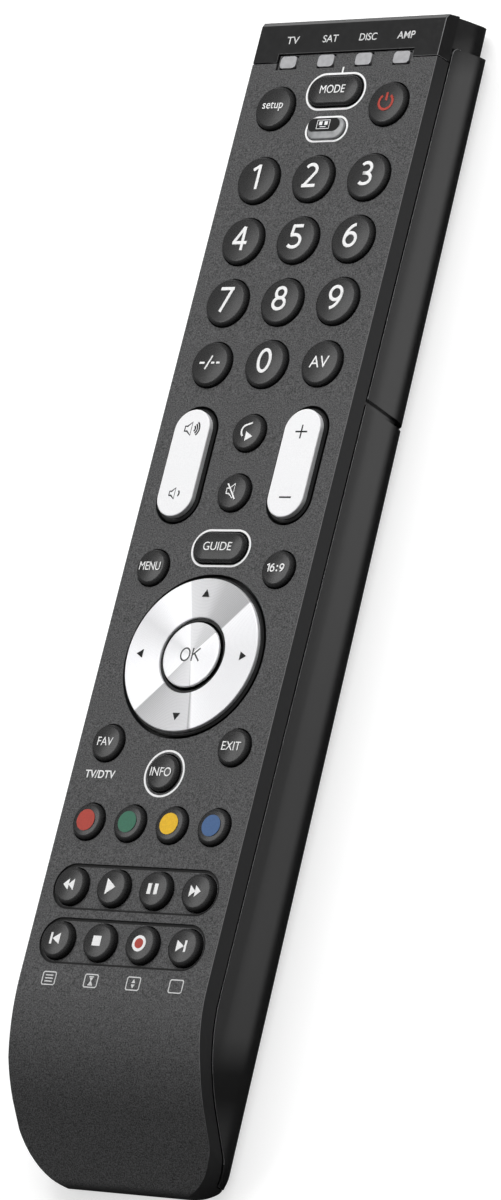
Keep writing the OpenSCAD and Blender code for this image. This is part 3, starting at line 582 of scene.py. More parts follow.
def soft_shell(node, name, finish, body):
    """A shell with its triangles merged into whole faces and its outer edges softened."""
    obj = copy_of(bpy.data.objects[node])
    obj.parent = None
    obj.matrix_world = Matrix()
    edit(obj)
    bpy.ops.mesh.customdata_custom_splitnormals_clear()
    choose_all()
    bpy.ops.mesh.remove_doubles(threshold=SHELL_WELD)
    bpy.ops.mesh.dissolve_limited(angle_limit=FLAT_FACE)
    choose("EDGE", touched_edge)
    round_off(EDGE_SOFT, EDGE_STEPS)
    leave_edit()
    smooth(obj, SHELL_SMOOTH_BELOW)
    keep(obj, name, finish, body, [node])


def draw_foot():
    """Draws the battery shell's foot towards the nose, so that no light shows through the slit there."""
    edit(bpy.data.objects["battery_shell"])
    choose("VERT", lambda corner: abs(panel_spot(corner).y - foot_y) < FOOT_BAND)
    bpy.ops.transform.translate(value=panel.to_3x3() @ Vector((0, -FOOT_DRAW, 0)))
    leave_edit()


def light_moulding():
    """Clear bar with four posts, whose round-cornered tops are the mode lights."""
    wide, long = LIGHT_SIZE
    post = start_box(wide, long, LIGHT_FOOT, LIGHT_TOP)
    choose("EDGE", lambda edge: abs(edge.verts[0].co.z - edge.verts[1].co.z) > TINY)
    round_off(LIGHT_CORNER, LIGHT_CORNER_STEPS)
    choose("FACE", faces_at(LIGHT_TOP, 1))
    soften_rim(EDGE_SOFT, EDGE_STEPS)
    leave_edit()
    pieces = [shifted(copy_of(post), step * LIGHT_PITCH, 0) for step in LIGHT_STEPS]
    bpy.data.objects.remove(post)
    bar = start_box((len(LIGHT_STEPS) - 1) * LIGHT_PITCH, long, LIGHT_FOOT, LIGHT_BAR_TOP)
    choose_all()
    round_off(EDGE_SOFT, EDGE_STEPS)
    leave_edit()
    moulding = joined(pieces + [bar])
    smooth(moulding)
    place = Matrix.Translation((0, node_place("light_guide").y, 0))
    settle(moulding, "light_moulding", place, milky_light, "case", ["light_guide"])


soft_shell("front_cover", "front_shell", panel_grain, "case")
soft_shell("signal_window", "window_shell", gloss_window, "case")
soft_shell("rear_cover", "rear_shell", gloss_shell, "case")
soft_shell("battery_cover", "battery_shell", gloss_shell, "battery_cover")
draw_foot()
light_moulding()


# Keys


def key_size(key_name):
    """Radius of a key's round ends, and how far they are drawn apart."""
    low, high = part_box(key_name)
    wide, long = high.x - low.x, high.y - low.y
    if wide - long < ROUND_WITHIN:
        return wide / 2 - FLANGE_WIDTH, 0
    return long / 2 - FLANGE_WIDTH, wide - long


def key_make(key_name):
    """Height, finish and slot of a key's cap."""
    if key_name == "activity_key":
        return ACTIVITY_HEIGHT, smoke_cap, "smoke_key"
    return KEY_HEIGHT, satin_key, "key_plastic"


def key_shape(radius, extra, height):
    """One key: flange under the panel, straight side, soft shoulder, gently domed face, peg."""
    obj = start_cylinder(radius + FLANGE_WIDTH, -FLANGE_DEPTH - FLANGE_THICK, -FLANGE_DEPTH)
    stretch(extra, 0)
    choose("FACE", faces_at(-FLANGE_DEPTH, 1))
    bpy.ops.mesh.inset(thickness=FLANGE_WIDTH)
    top = height - KEY_CROWN
    shoulder = min(KEY_SHOULDER, SHOULDER_SHARE * top)
    raise_faces(FLANGE_DEPTH + top)
    soften_rim(shoulder, SHOULDER_STEPS)
    face_radius = radius - shoulder
    for ring in range(CROWN_RINGS):
        choose("FACE", faces_at(top, 1))
        rise = KEY_CROWN * (2 * (CROWN_RINGS - ring) - 1) / CROWN_RINGS ** 2
        bpy.ops.mesh.inset(thickness=CROWN_SHARE * face_radius / CROWN_RINGS, depth=rise)
        top += rise
    choose("FACE", faces_at(-FLANGE_DEPTH - FLANGE_THICK, -1))
    bpy.ops.mesh.inset(thickness=radius + FLANGE_WIDTH - PEG_RADIUS)
    raise_faces(-PEG_RADIUS)
    leave_edit()
    smooth(obj)
    return obj


key_names = [name for name in moving_bodies if name.endswith("_key") and name != "ok_key"]
key_shapes = {}
for key_name in key_names:
    radius, extra = key_size(key_name)
    height, finish, slot = key_make(key_name)
    kind = (round(radius / MM, 2), round(extra / MM, 2))
    if kind not in key_shapes:
        key_shapes[kind] = key_shape(radius, extra, height)
    cap = copy_of(key_shapes[kind])
    place = Matrix.Translation(node_place(key_name))
    settle(cap, key_name.replace("_key", "_cap"), place, finish, key_name, [key_name])
for pattern in key_shapes.values():
    bpy.data.objects.remove(pattern)


# Bright plates


def rocker_plate(name, body):
    """Silver plate with a soft edge, over the top of a rocker."""
    low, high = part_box(body)
    radius = (high.x - low.x) / 2 - WING_WIDTH - ROCKER_RIM + FOIL
    length = (high.y - low.y) - 2 * ROCKER_RIM
    obj = start_cylinder(radius, RIM_HEIGHT - FOIL, ROCKER_HEIGHT + FOIL)
    stretch(length - 2 * radius, 1)
    choose("FACE", faces_at(ROCKER_HEIGHT + FOIL, 1))
    soften_rim(PLATE_EDGE, PLATE_STEPS)
    leave_edit()
    smooth(obj)
    settle(obj, name, Matrix.Translation(node_place(body)), silver_lacquer, body)


def ring_plate():
    """Spun plate of the ring: a section with soft corners, spun about the ring's axis."""
    low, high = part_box("nav_ring")
    outer = (high.x - low.x) / 2 - RING_RIM + FOIL
    ok_low, ok_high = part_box("ok_key")
    inner = (ok_high.x - ok_low.x) / 2 + RING_GAP + RING_LIP - FOIL
    pick()
    bpy.ops.mesh.primitive_plane_add(size=1, rotation=(math.pi / 2, 0, 0))
    obj = bpy.context.object
    top, foot = RING_HEIGHT + FOIL, RIM_HEIGHT - FOIL
    obj.scale = (outer - inner, top - foot, 1)
    obj.location = ((outer + inner) / 2, 0, (top + foot) / 2)
    apply_place()
    edit(obj)
    choose("VERT", lambda corner: corner.co.z > RIM_HEIGHT and corner.co.x < inner + FOIL)
    bpy.ops.transform.translate(value=(0, 0, -RING_DISH))
    choose("VERT", lambda corner: corner.co.z > RIM_HEIGHT)
    round_off(PLATE_EDGE, RING_CORNER_STEPS, "VERTICES")
    choose_all()
    bpy.ops.mesh.delete(type="ONLY_FACE")
    choose_all()
    bpy.ops.mesh.spin(steps=2 * ROUND_SIDES, angle=2 * math.pi, center=(0, 0, 0), axis=(0, 0, 1))
    choose_all()
    bpy.ops.mesh.remove_doubles(threshold=TINY)
    bpy.ops.mesh.normals_make_consistent(inside=False)
    leave_edit()
    smooth(obj)
    settle(obj, "ring_plate", Matrix(), ring_spun, "nav_ring")


def ok_plate():
    """Spun disc over the top of the OK key."""
    low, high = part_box("ok_key")
    radius = (high.x - low.x) / 2 + FOIL
    top = RING_HEIGHT + FOIL
    obj = start_cylinder(radius, top - 2 * PLATE_EDGE, top, 2 * ROUND_SIDES)
    choose("FACE", faces_at(top, 1))
    soften_rim(PLATE_EDGE, PLATE_STEPS)
    choose("FACE", faces_at(top, 1))
    bpy.ops.mesh.inset(thickness=PLATE_EDGE)
    leave_edit()
    smooth(obj)
    settle(obj, "ok_plate", Matrix(), disc_spun, "ok_key")


rocker_plate("volume_plate", "volume_rocker")
rocker_plate("channel_plate", "channel_rocker")
ring_plate()
ok_plate()


# Ink: letters, lines and filled shapes, centred on zero

# Letters are made at a font size of one, then brought to their own size
LETTER_THICK = 0.02
LETTER_WELD = 0.0002
STROKE_STEPS = 2
ARC_STEPS = 24
OVAL_STEPS = 48


def lettering(text, cap_height, width, weight=0.0):
    """Letters as thin ink, with the given height of capitals and overall width."""
    pick()
    bpy.ops.object.text_add()
    obj = bpy.context.object
    obj.data.body = text
    obj.data.size = 1
    obj.data.offset = weight
    obj.data.extrude = LETTER_THICK
    bpy.ops.object.convert(target="MESH")
    obj = bpy.context.object
    edit(obj)
    choose_all()
    bpy.ops.mesh.remove_doubles(threshold=LETTER_WELD)
    leave_edit()
    corners = [corner.co for corner in obj.data.vertices]
    low = Vector([min(c[i] for c in corners) for i in range(3)])
    high = Vector([max(c[i] for c in corners) for i in range(3)])
    obj.data.transform(Matrix.Translation(-(low + high) / 2))
    size = high - low
    obj.data.transform(Matrix.Diagonal((width / size.x, cap_height / size.y, INK / size.z, 1)))
    return obj


def stroke(points, width, closed=False):
    """A line of ink with round ends along flat points."""
    curve = bpy.data.curves.new("stroke", "CURVE")
    curve.dimensions = "3D"
    curve.bevel_depth = width / 2
    curve.bevel_resolution = STROKE_STEPS
    curve.use_fill_caps = True
    line = curve.splines.new("POLY")
    line.points.add(len(points) - 1)
    line.use_cyclic_u = closed
    for point, (x, y) in zip(line.points, points):
        point.co = (x, y, 0, 1)
    obj = bpy.data.objects.new("stroke", curve)
    bpy.context.scene.collection.objects.link(obj)
    pick(obj)
    bpy.ops.object.convert(target="MESH")
    obj = bpy.context.object
    obj.data.transform(Matrix.Diagonal((1, 1, INK / width, 1)))
    return obj


def strokes(lines, width, closed=False, grow=MM):
    """Lines of ink through points in millimetres, or in another unit."""
    return [stroke([(x * grow, y * grow) for x, y in line], width, closed) for line in lines]


def ink_polygon(sides, radius, turn=0.0):
    """A filled flat shape of ink: a dot, triangle or square."""
    pick()
    bpy.ops.mesh.primitive_circle_add(vertices=sides, radius=radius, fill_type="NGON", rotation=(0, 0, turn))
    apply_place()
    obj = bpy.context.object
    edit(obj)
    choose_all()
    raise_faces(INK)
    choose_all()
    bpy.ops.mesh.normals_make_consistent(inside=False)
    leave_edit()
    obj.data.transform(Matrix.Translation((0, 0, -INK / 2)))
    return obj


def ink_square(radius):
    """A filled square of ink, with its corners at a radius."""
    return ink_polygon(4, radius, math.pi / 4)


def triangle(x, wide, high, left=False):
    """A filled triangle that points right or left, with its middle at x, in millimetres."""
    radius = high / math.sqrt(3)
    even_width = 1.5 * radius
    shape = ink_polygon(3, radius * MM, math.pi / 2 if left else -math.pi / 2)
    shape.data.transform(Matrix.Diagonal((wide / even_width, 1, 1, 1)))
    corners = [corner.co.x for corner in shape.data.vertices]
    return shifted(shape, x * MM - (min(corners) + max(corners)) / 2, 0)


def upright_bar(x, wide, high):
    """A filled upright bar, in millimetres."""
    return stroke([(x * MM, -high / 2 * MM), (x * MM, high / 2 * MM)], wide * MM)


def outline_print(width, length, line):
    """A printed line round a key: a bar with round ends, with its middle cut away."""
    obj = start_cylinder(length / 2, -INK / 2, INK / 2)
    stretch(width - length, 0)
    choose("FACE", lambda face: abs(face.normal.z) > LEVEL_FACE)
    bpy.ops.mesh.inset(thickness=line)
    bpy.ops.mesh.bridge_edge_loops()
    leave_edit()
    return obj


def bow(x, y, wide, high, start, end, steps=ARC_STEPS):
    """Points along part of an oval, in degrees."""
    angles = [math.radians(start + (end - start) * i / steps) for i in range(steps + 1)]
    return [(x + wide * math.cos(a), y + high * math.sin(a)) for a in angles]


def oval(x, y, wide, high, steps=OVAL_STEPS):
    """Points round a whole oval."""
    return bow(x, y, wide, high, 0, 360, steps)


def arc(radius, start, end):
    """Points along an arc about zero, in degrees."""
    return bow(0, 0, radius, radius, start, end)


def print_on_key(obj, key_name, name, finish=white_ink, lift=0.0, shift=(0, 0)):
    """Puts a legend on a key's face, from which it never comes loose."""
    height, _, slot = key_make(key_name)
    place = node_place(key_name) + Vector((*shift, height + lift))
    settle(obj, name, Matrix.Translation(place), finish, key_name)


def print_on_panel(obj, name, x, y, finish=white_ink, z=0.0):
    """Puts a legend on the panel or the window."""
    place = Matrix.Translation((x, y, z + INK / 3))
    settle(obj, name, place, finish, "case")


# Legends on the keys

# Lines of the numerals, in a field 3.3 wide and 4.9 high about zero
NUMERALS = {
    "0": [oval(0, 0, 1.27, 2.09)],
    "1": [[(0.42, 2.45), (0.42, -2.45)], [(-0.95, 1.35), (0.42, 2.2)]],
    "2": [bow(-0.1, 0.98, 1.22, 1.11, 150, -22) + [(-1.25, -2.2)], [(-1.6, -2.09), (1.45, -2.09)]],
    "3": [bow(-0.15, 1.07, 1.12, 1.02, 145, -90) + [(-0.75, 0.05)],
          [(-0.75, 0.05)] + bow(-0.15, -1.02, 1.35, 1.07, 90, -140)],
    "4": [[(0.6, -2.45), (0.6, 2.2)], [(0.6, 2.2), (-1.45, -0.95)], [(-1.65, -0.95), (1.6, -0.95)]],
    "5": [[(1.35, 2.09), (-0.9, 2.09)], [(-0.72, 2.3), (-0.92, 0.35)],
          [(-0.92, 0.35)] + bow(-0.2, -0.86, 1.45, 1.23, 118, -142)],
    "6": [bow(1.15, -0.8, 2.4, 2.88, 98, 180), oval(0, -0.82, 1.25, 1.27)],
    "7": [[(-1.45, 2.09), (1.6, 2.09)], [(1.3, 2.25), (-0.6, -2.45)]],
    "8": [oval(0, 1.08, 1.05, 1.01), oval(0, -0.98, 1.28, 1.11)],
    "9": [bow(-1.15, 0.8, 2.4, 2.88, -82, 0), oval(0, 0.82, 1.25, 1.27)],
}
NUMERAL_HEIGHT = 4.9
DIGIT_HEIGHT = 5.2 * MM
DIGIT_LINE = 0.74 * MM
DIGIT_RISE = 0.35 * MM


def numeral(figure, height, line):
    """One figure drawn with lines of even width, as separate bits."""
    return strokes(NUMERALS[figure], line, grow=height / NUMERAL_HEIGHT)


for figure in NUMERALS:
    legend = joined(numeral(figure, DIGIT_HEIGHT, DIGIT_LINE))
    print_on_key(legend, f"digit_{figure}_key", f"digit_{figure}_legend", shift=(0, DIGIT_RISE))

# Words with their widths and heights in millimetres
KEY_WORDS = {
    "setup_key": ("setup", 5.0, 1.95), "mode_key": ("MODE", 6.0, 1.7), "guide_key": ("GUIDE", 6.8, 1.7),
    "menu_key": ("MENU", 5.0, 1.7), "fav_key": ("FAV", 3.65, 1.7), "exit_key": ("EXIT", 4.4, 1.7),
    "info_key": ("INFO", 4.9, 1.75), "av_key": ("AV", 4.4, 2.4),
}
for key_name, (word, wide, high) in KEY_WORDS.items():
    legend = lettering(word, high * MM, wide * MM)
    print_on_key(legend, key_name, key_name.replace("_key", "_legend"))

# Picture ratio: places of its figures and of its two dots in millimetres
RATIO_FIGURES = (("1", -1.75), ("6", -0.75), ("9", 1.45))
RATIO_DOTS = ((0.37, -0.55), (0.37, 0.35))
RATIO_HEIGHT = 1.7 * MM
RATIO_LINE = 0.3 * MM
RATIO_DOT_RADIUS = 0.21 * MM
RATIO_DOT_SIDES = 12
ratio_bits = []
for figure, x in RATIO_FIGURES:
    ratio_bits += [shifted(bit, x * MM, 0) for bit in numeral(figure, RATIO_HEIGHT, RATIO_LINE)]
for x, y in RATIO_DOTS:
    ratio_bits.append(shifted(ink_polygon(RATIO_DOT_SIDES, RATIO_DOT_RADIUS), x * MM, y * MM))
print_on_key(joined(ratio_bits), "aspect_key", "aspect_legend")

dash_bits = strokes([[(-2.3, 0), (-1.1, 0)], [(0.5, 0), (1.3, 0)], [(1.8, 0), (2.6, 0)]], width=0.45 * MM)
dash_bits += strokes([[(-0.7, -1.3), (0.5, 1.5)]], width=0.4 * MM)
print_on_key(joined(dash_bits), "dash_key", "dash_legend")

power_bits = strokes([arc(1.6, 125, 415), [(0, 0.3), (0, 2.0)]], width=0.58 * MM)
print_on_key(joined(power_bits), "power_key", "power_legend", red_ink)

HOOK = [(1.1, 1.7)] + bow(0.2, 0, 1.35, 1.35, 120, 230)
HOOK_HEAD_RADIUS = 1.15 * MM
HOOK_HEAD_PLACE = (0.6 * MM, -1.05 * MM)
return_bits = strokes([HOOK], width=0.42 * MM)
return_bits.append(shifted(ink_polygon(3, HOOK_HEAD_RADIUS, -math.pi / 2), *HOOK_HEAD_PLACE))
print_on_key(joined(return_bits), "return_key", "return_legend")

SPEAKER = [(-1.15, 0.55), (-0.5, 0.55), (0.6, 1.5), (0.6, -1.5), (-0.5, -0.55), (-1.15, -0.55)]
mute_bits = strokes([SPEAKER], width=0.3 * MM, closed=True)
mute_bits += strokes([[(-1.2, 1.5), (1.2, -1.7)]], width=0.34 * MM)
print_on_key(joined(mute_bits), "mute_key", "mute_legend")

DOT_RADIUS = 2.12 * MM
for colour, ink in (("red", red_ink), ("green", green_ink), ("yellow", yellow_ink), ("blue", blue_ink)):
    dot = ink_polygon(ROUND_SIDES, DOT_RADIUS)
    print_on_key(dot, f"{colour}_key", f"{colour}_dot", ink)

# Widths and heights of the transport signs in millimetres
WIND = (1.35, 2.3)
PLAY = (2.2, 3.2)
SKIP = (1.75, 2.25)
PAUSE_BAR = (0.95, 2.1)
SKIP_BAR = (0.55, 2.25)
STOP_RADIUS = 1.38 * MM
RECORD_RADIUS = 1.58 * MM
RECORD_DOT_RADIUS = 0.98 * MM
TRANSPORT = {
    "rewind": [triangle(0.65, *WIND, left=True), triangle(-0.6, *WIND, left=True)],
    "play": [triangle(0.1, *PLAY)],
    "pause": [upright_bar(-0.8, *PAUSE_BAR), upright_bar(0.8, *PAUSE_BAR)],
    "forward": [triangle(-0.65, *WIND), triangle(0.6, *WIND)],
    "previous": [upright_bar(-0.85, *SKIP_BAR), triangle(0.35, *SKIP, left=True)],
    "stop": [ink_square(STOP_RADIUS)],
    "next": [triangle(-0.35, *SKIP), upright_bar(0.85, *SKIP_BAR)],
    "record": [ink_polygon(ROUND_SIDES, RECORD_RADIUS)],
}
for name, bits in TRANSPORT.items():
    print_on_key(joined(bits), f"{name}_key", f"{name}_legend")
record_dot = ink_polygon(ROUND_SIDES, RECORD_DOT_RADIUS)
print_on_key(record_dot, "record_key", "record_dot", red_ink, lift=INK)


# Legends on the panel, the window and the activity key

OUTLINE = 0.42 * MM
# Widths and lengths of the printed outlines in millimetres
KEY_OUTLINES = {
    "mode_key": (14.39, 7.97), "guide_key": (14.16, 7.69), "activity_key": (10.28, 5.53),
    "info_key": (9.46, 9.46),
}
for key_name, (wide, long) in KEY_OUTLINES.items():
    centre = node_place(key_name)
    outline = outline_print(wide * MM, long * MM, OUTLINE)
    print_on_panel(outline, key_name.replace("_key", "_outline"), centre.x, centre.y)

# Dark line painted round the floor of each transport row's recess: painted shade where the recess wall meets
# its floor
RECESS_LINE = 0.48 * MM
RECESS_DEPTH = 0.4 * MM
RECESS_MARGIN = 0.85 * MM
for name, first, last in (("upper_row_line", "rewind_key", "forward_key"),
                          ("lower_row_line", "previous_key", "next_key")):
    start, end = node_place(first), node_place(last)
    radius, _ = key_size(first)
    long = 2 * (radius + RECESS_MARGIN)
    line = outline_print(end.x - start.x + long, long, RECESS_LINE)
    print_on_panel(line, name, 0, start.y, dark_ink_and_shade, z=-RECESS_DEPTH)

CAPTION_SHIFT = Vector((-0.25, -6.2, 0)) * MM
caption = lettering("TV/DTV", cap_height=1.6 * MM, width=7.2 * MM, weight=0.012)
caption_place = node_place("fav_key") + CAPTION_SHIFT
print_on_panel(caption, "fav_caption", caption_place.x, caption_place.y)

TIE = [(0, -0.5), (0, 0.75)]
TIE_X = 0.4 * MM
TIE_RISE = 4.45 * MM
mode_tie = joined(strokes([TIE], OUTLINE))
print_on_panel(mode_tie, "mode_tie", TIE_X, node_place("mode_key").y + TIE_RISE)

SHADE_RADIUS = 1.4 * MM
SHADE_LENGTH = 4.8 * MM
SHADE_SHIFT = (-0.4 * MM, 0.65 * MM)
activity_shade = start_cylinder(SHADE_RADIUS, -INK / 2, INK / 2)
stretch(SHADE_LENGTH, 0)
leave_edit()
print_on_key(activity_shade, "activity_key", "activity_shade", dark_ink_and_shade, shift=SHADE_SHIFT)

SCREEN = [(-1.5, -0.9), (1.5, -0.9), (1.5, 0.9), (-1.5, 0.9)]
SCREEN_LINE = 0.2 * MM
SCREEN_FOOT = [(-0.7, -0.5), (0.7, -0.5)]
SCREEN_SQUARES = ((-0.65, 0.25), (0.65, 0.25))
SCREEN_SQUARE_RADIUS = 0.55 * MM
SCREEN_SHIFT = (-0.5 * MM, 0.7 * MM)
screen_bits = strokes([SCREEN], SCREEN_LINE, closed=True)
screen_bits += [shifted(ink_square(SCREEN_SQUARE_RADIUS), x * MM, y * MM) for x, y in SCREEN_SQUARES]
screen_bits += strokes([SCREEN_FOOT], SCREEN_LINE)
print_on_key(joined(screen_bits), "activity_key", "activity_legend", lift=INK, shift=SCREEN_SHIFT)

# Words over the mode lights with their widths in millimetres
MODE_WORDS = (("TV", 2.95), ("SAT", 3.7), ("DISC", 4.2), ("AMP", 4.2))
LABEL_HEIGHT = 1.55 * MM
LABEL_WEIGHT = 0.006
LABEL_RISE = 4.65 * MM
label_y = node_place("light_guide").y + LABEL_RISE
for step, (word, wide) in zip(LIGHT_STEPS, MODE_WORDS):
    label = lettering(word, LABEL_HEIGHT, wide * MM, LABEL_WEIGHT)
    print_on_panel(label, f"{word.lower()}_label", step * LIGHT_PITCH, label_y, pale_ink)

# Round-cornered frame of the signs under the transport keys, in millimetres
ICON_FRAME = [(-1.55, -1.0), (-1.3, -1.25), (1.3, -1.25), (1.55, -1.0),
              (1.55, 1.0), (1.3, 1.25), (-1.3, 1.25), (-1.55, 1.0)]
ICON_LINE = 0.26 * MM
ICON_DROP = 7.5 * MM
ICON_ARROW = 0.5 * MM
icon_y = node_place("stop_key").y - ICON_DROP


def icon_arrow(y, down):
    """A small filled arrow head that points up or down, at y in millimetres."""
    return shifted(ink_polygon(3, ICON_ARROW, math.pi if down else 0), 0, y * MM)


ICONS = {
    "list": ("previous", strokes([[(-0.9, y), (0.9, y)] for y in (-0.6, 0, 0.6)], ICON_LINE)),
    "hold": ("stop", strokes([[(-0.55, y), (0.55, y)] for y in (0.8, -0.8)], ICON_LINE)
             + [icon_arrow(0.38, down=True), icon_arrow(-0.38, down=False)]),
    "size": ("record", [icon_arrow(0.4, down=False), icon_arrow(-0.4, down=True)]),
    "clear": ("next", []),
}
for icon, (key, bits) in ICONS.items():
    bits += strokes([ICON_FRAME], ICON_LINE, closed=True)
    print_on_panel(joined(bits), f"{icon}_icon", node_place(f"{key}_key").x, icon_y, pale_ink)


# Signs on the ring and the rockers

ARROW_REACH = 12.2 * MM
ARROW_RADIUS = 1.0 * MM
ARROW_HEIGHT = RING_HEIGHT - 0.06 * MM
for name, degrees in (("right", 0), ("up", 90), ("left", 180), ("down", 270)):
    turn = math.radians(degrees)
    mark = ink_polygon(3, ARROW_RADIUS, turn - math.pi / 2)
    place = Vector((ARROW_REACH * math.cos(turn), ARROW_REACH * math.sin(turn), ARROW_HEIGHT))
    settle(mark, f"{name}_mark", Matrix.Translation(place), dark_ink_and_shade, "nav_ring")

OK_WORD = [oval(-1.3, 0, 1.05, 1.25, 40), [(0.4, 1.3), (0.4, -1.3)], [(2.0, 1.3), (0.45, -0.1)],
           [(0.85, 0.25), (2.2, -1.3)]]
OK_LINE = 0.33 * MM
ok_place = Matrix.Translation((0, 0, RING_HEIGHT + FOIL))
settle(joined(strokes(OK_WORD, OK_LINE)), "ok_legend", ok_place, grey_ink, "ok_key")

FAR_SIGN = 7.0 * MM
NEAR_SIGN = 6.35 * MM
SIGN_LINE = 0.34 * MM
LEVEL_STROKE = [(-1.4, 0), (1.4, 0)]
UPRIGHT_STROKE = [(0, -1.4), (0, 1.4)]
SPEAKER_X = -0.6 * MM
WAVE_X = 0.2 * MM
WAVE_RADIUS = 0.7 * MM
WAVE_STEP = 0.5 * MM
WAVE_TURN = 50


def speaker_sign(size, waves):
    """A speaker of a size, with some waves of sound."""
    bits = [shifted(bit, SPEAKER_X, 0) for bit in strokes([SPEAKER], SIGN_LINE, closed=True, grow=size)]
    for wave in range(waves):
        points = arc(WAVE_RADIUS + WAVE_STEP * wave, -WAVE_TURN, WAVE_TURN)
        bits.append(shifted(stroke(points, SIGN_LINE), WAVE_X, 0))
    return joined(bits)


def sign_on_rocker(obj, name, body, y):
    """Puts a sign on a rocker's plate."""
    place = node_place(body) + Vector((0, y, ROCKER_HEIGHT + FOIL))
    settle(obj, name, Matrix.Translation(place), dark_ink_and_shade, body)


sign_on_rocker(speaker_sign(0.9 * MM, waves=3), "volume_up_sign", "volume_rocker", FAR_SIGN)
sign_on_rocker(speaker_sign(0.75 * MM, waves=1), "volume_down_sign", "volume_rocker", -NEAR_SIGN)
plus_sign = joined(strokes([LEVEL_STROKE, UPRIGHT_STROKE], SIGN_LINE))
sign_on_rocker(plus_sign, "channel_up_sign", "channel_rocker", NEAR_SIGN)
minus_sign = joined(strokes([LEVEL_STROKE], SIGN_LINE))
sign_on_rocker(minus_sign, "channel_down_sign", "channel_rocker", -FAR_SIGN)


# Floor, light and camera

FLOOR_SIZE = 8
FLOOR_TONE = 0.5
# Floor tone seen in glossy surfaces, darker than the lit floor: painted shade in what the case's sides
# reflect
FLOOR_SHADE_IN_GLOSS = 0.08
# Near and far distance from the middle of the case, and the light that the camera sees added there
FLOOR_FADE = (0.15, 0.7)
FLOOR_LIFT = (1.15 - FLOOR_TONE, 1.0)
# Painted reflection in the glossy sides: a bright band that the floor shows to glossy rays alone, glowing
# though it is no lamp; places in millimetres and tones, across and along the case
REFLECTION_BAND_ACROSS = ((25.7, 0.0), (27.0, 1.0), (31.2, 1.0), (33.6, 0.6), (60, 0.6))
REFLECTION_BAND_ALONG = ((-118, 0.2), (-104, 0.2), (-98, 0.0), (-93, 0.02), (-86, 0.5), (-70, 0.58), (-30, 0.63),
              (0, 0.76), (20, 0.83), (50, 0.88), (109, 0.85), (118, 0.15))

# World: level all round, what is added overhead, how closely that gathers, share for matte surfaces
WORLD_BASE = 0.2
WORLD_OVERHEAD = 0.35
WORLD_GATHER = 3
WORLD_MATTE_SHARE = 0.3
WHITE = (1, 1, 1, 1)


def reflection_band_tone(material, place, stops):
    """Tone of the painted reflection band from a place on the floor."""
    first, last = stops[0][0] * MM, stops[-1][0] * MM
    tones = [((spot * MM - first) / (last - first), (tone,) * 3) for spot, tone in stops]
    return ramped(material, remapped(material, place, (first, last)), tones)


def floor_white():
    """Floor finish that keeps the shadow and is white to the camera; to glossy rays it is darker, a painted
    shade, and shows a bright band, a painted reflection in the glossy sides.
    """
    material = plain_finish("floor_white", grey(FLOOR_TONE), roughness=0.9)
    shader = shader_of(material)
    shader.inputs["Specular IOR Level"].default_value = 0
    shader.inputs["Emission Color"].default_value = WHITE
    axes = axes_of(material, "Object")
    across = reflection_band_tone(material, worked_out(material, "ABSOLUTE", axes["X"]), REFLECTION_BAND_ACROSS)
    along = reflection_band_tone(material, axes["Y"], REFLECTION_BAND_ALONG)
    path = add_node(material, "ShaderNodeLightPath").outputs
    # Darker floor for glossy rays: painted shade in the case's reflections
    tone = remapped(material, path["Is Glossy Ray"], ends=(FLOOR_TONE, FLOOR_SHADE_IN_GLOSS))
    feed(material, tone, shader, "Base Color")
    # Painted reflection: the band glows for glossy rays only
    painted_reflection = worked_out(material, "MULTIPLY", across, along)
    in_gloss = worked_out(material, "MULTIPLY", painted_reflection, path["Is Glossy Ray"])
    away = add_node(material, "ShaderNodeVectorMath", operation="LENGTH")
    feed(material, coordinate(material, "Object"), away, 0)
    missing = remapped(material, away.outputs["Value"], FLOOR_FADE, FLOOR_LIFT)
    lift = worked_out(material, "MULTIPLY_ADD", path["Is Camera Ray"], missing, in_gloss)
    feed(material, lift, shader, "Emission Strength")
    return material


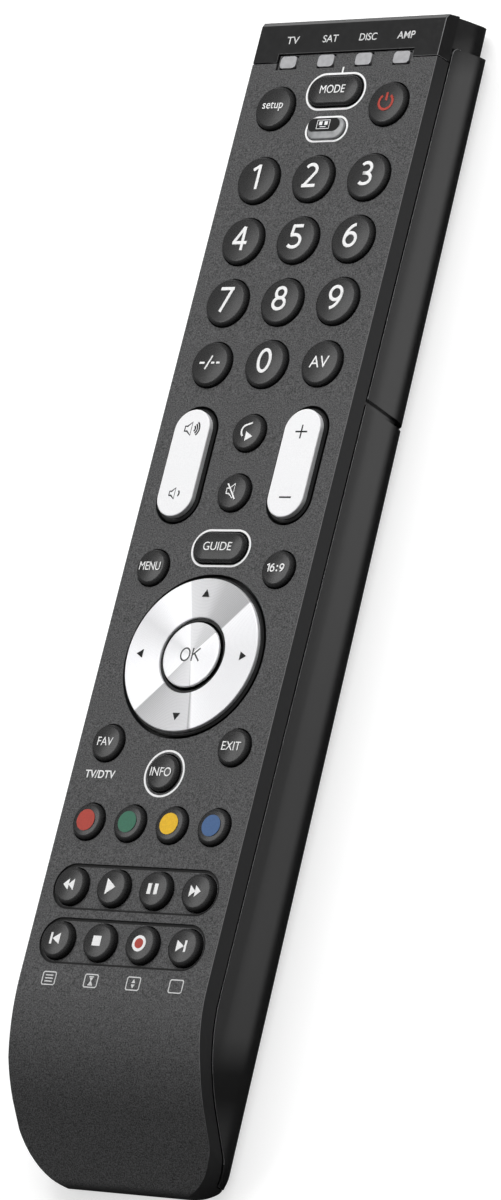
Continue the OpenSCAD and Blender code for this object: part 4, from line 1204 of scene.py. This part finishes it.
def pale_floor():
    """Floor under the remote control."""
    pick()
    bpy.ops.mesh.primitive_plane_add(size=FLOOR_SIZE, location=(0, 0, -FOIL))
    floor = bpy.context.object
    floor.name = "floor"
    edit(floor)
    bpy.ops.mesh.subdivide(number_cuts=2)
    leave_edit()
    floor.data.materials.append(floor_white())


def studio_world():
    """Soft light that is brighter overhead; white to the camera."""
    world = bpy.data.worlds.new("studio")
    bpy.context.scene.world = world
    world.use_nodes = True
    level = remapped(world, axes_of(world, "Generated")["Z"])
    gathered = worked_out(world, "POWER", level, WORLD_GATHER)
    overhead = worked_out(world, "MULTIPLY_ADD", gathered, WORLD_OVERHEAD, WORLD_BASE)
    path = add_node(world, "ShaderNodeLightPath").outputs
    share = remapped(world, path["Is Glossy Ray"], ends=(WORLD_MATTE_SHARE, 1))
    shed = worked_out(world, "MULTIPLY", overhead, share)
    strength = worked_out(world, "MAXIMUM", path["Is Camera Ray"], shed)
    background = world.node_tree.nodes["Background"]
    background.inputs["Color"].default_value = WHITE
    feed(world, strength, background, "Strength")


def softbox(name, place, aim, size, power, in_gloss):
    """A soft lamp that does or does not show in glossy surfaces."""
    pick()
    bpy.ops.object.light_add(type="AREA", location=place)
    lamp = bpy.context.object
    lamp.name = name
    lamp.data.shape = "RECTANGLE"
    lamp.data.size, lamp.data.size_y = size
    lamp.data.energy = power
    lamp.visible_glossy = in_gloss
    lamp.rotation_euler = (Vector(aim) - Vector(place)).to_track_quat("-Z", "Y").to_euler()


def photo_camera():
    """The camera that took the photograph."""
    bpy.ops.object.camera_add(location=CAMERA_PLACE, rotation=CAMERA_TURN)
    camera = bpy.context.object
    camera.data.lens = CAMERA_LENS
    camera.data.sensor_width = CAMERA_SENSOR
    camera.data.clip_end = CAMERA_REACH
    bpy.context.scene.camera = camera


pale_floor()
studio_world()
softbox("high_softbox", place=(0.1, 0.95, 1.05), aim=(0, 0, 0), size=(1.2, 1.0), power=22, in_gloss=False)
softbox("left_strip", place=(-0.564, 0.251, 1.028), aim=(0, 0, 0), size=(1.1, 0.34), power=3.6,
        in_gloss=True)
softbox("low_strip", place=(-0.483, 0.752, 0.062), aim=(0, 0.114, 0.017), size=(0.22, 0.12), power=0.11,
        in_gloss=True)
photo_camera()
bpy.context.scene.view_settings.view_transform = "Standard"
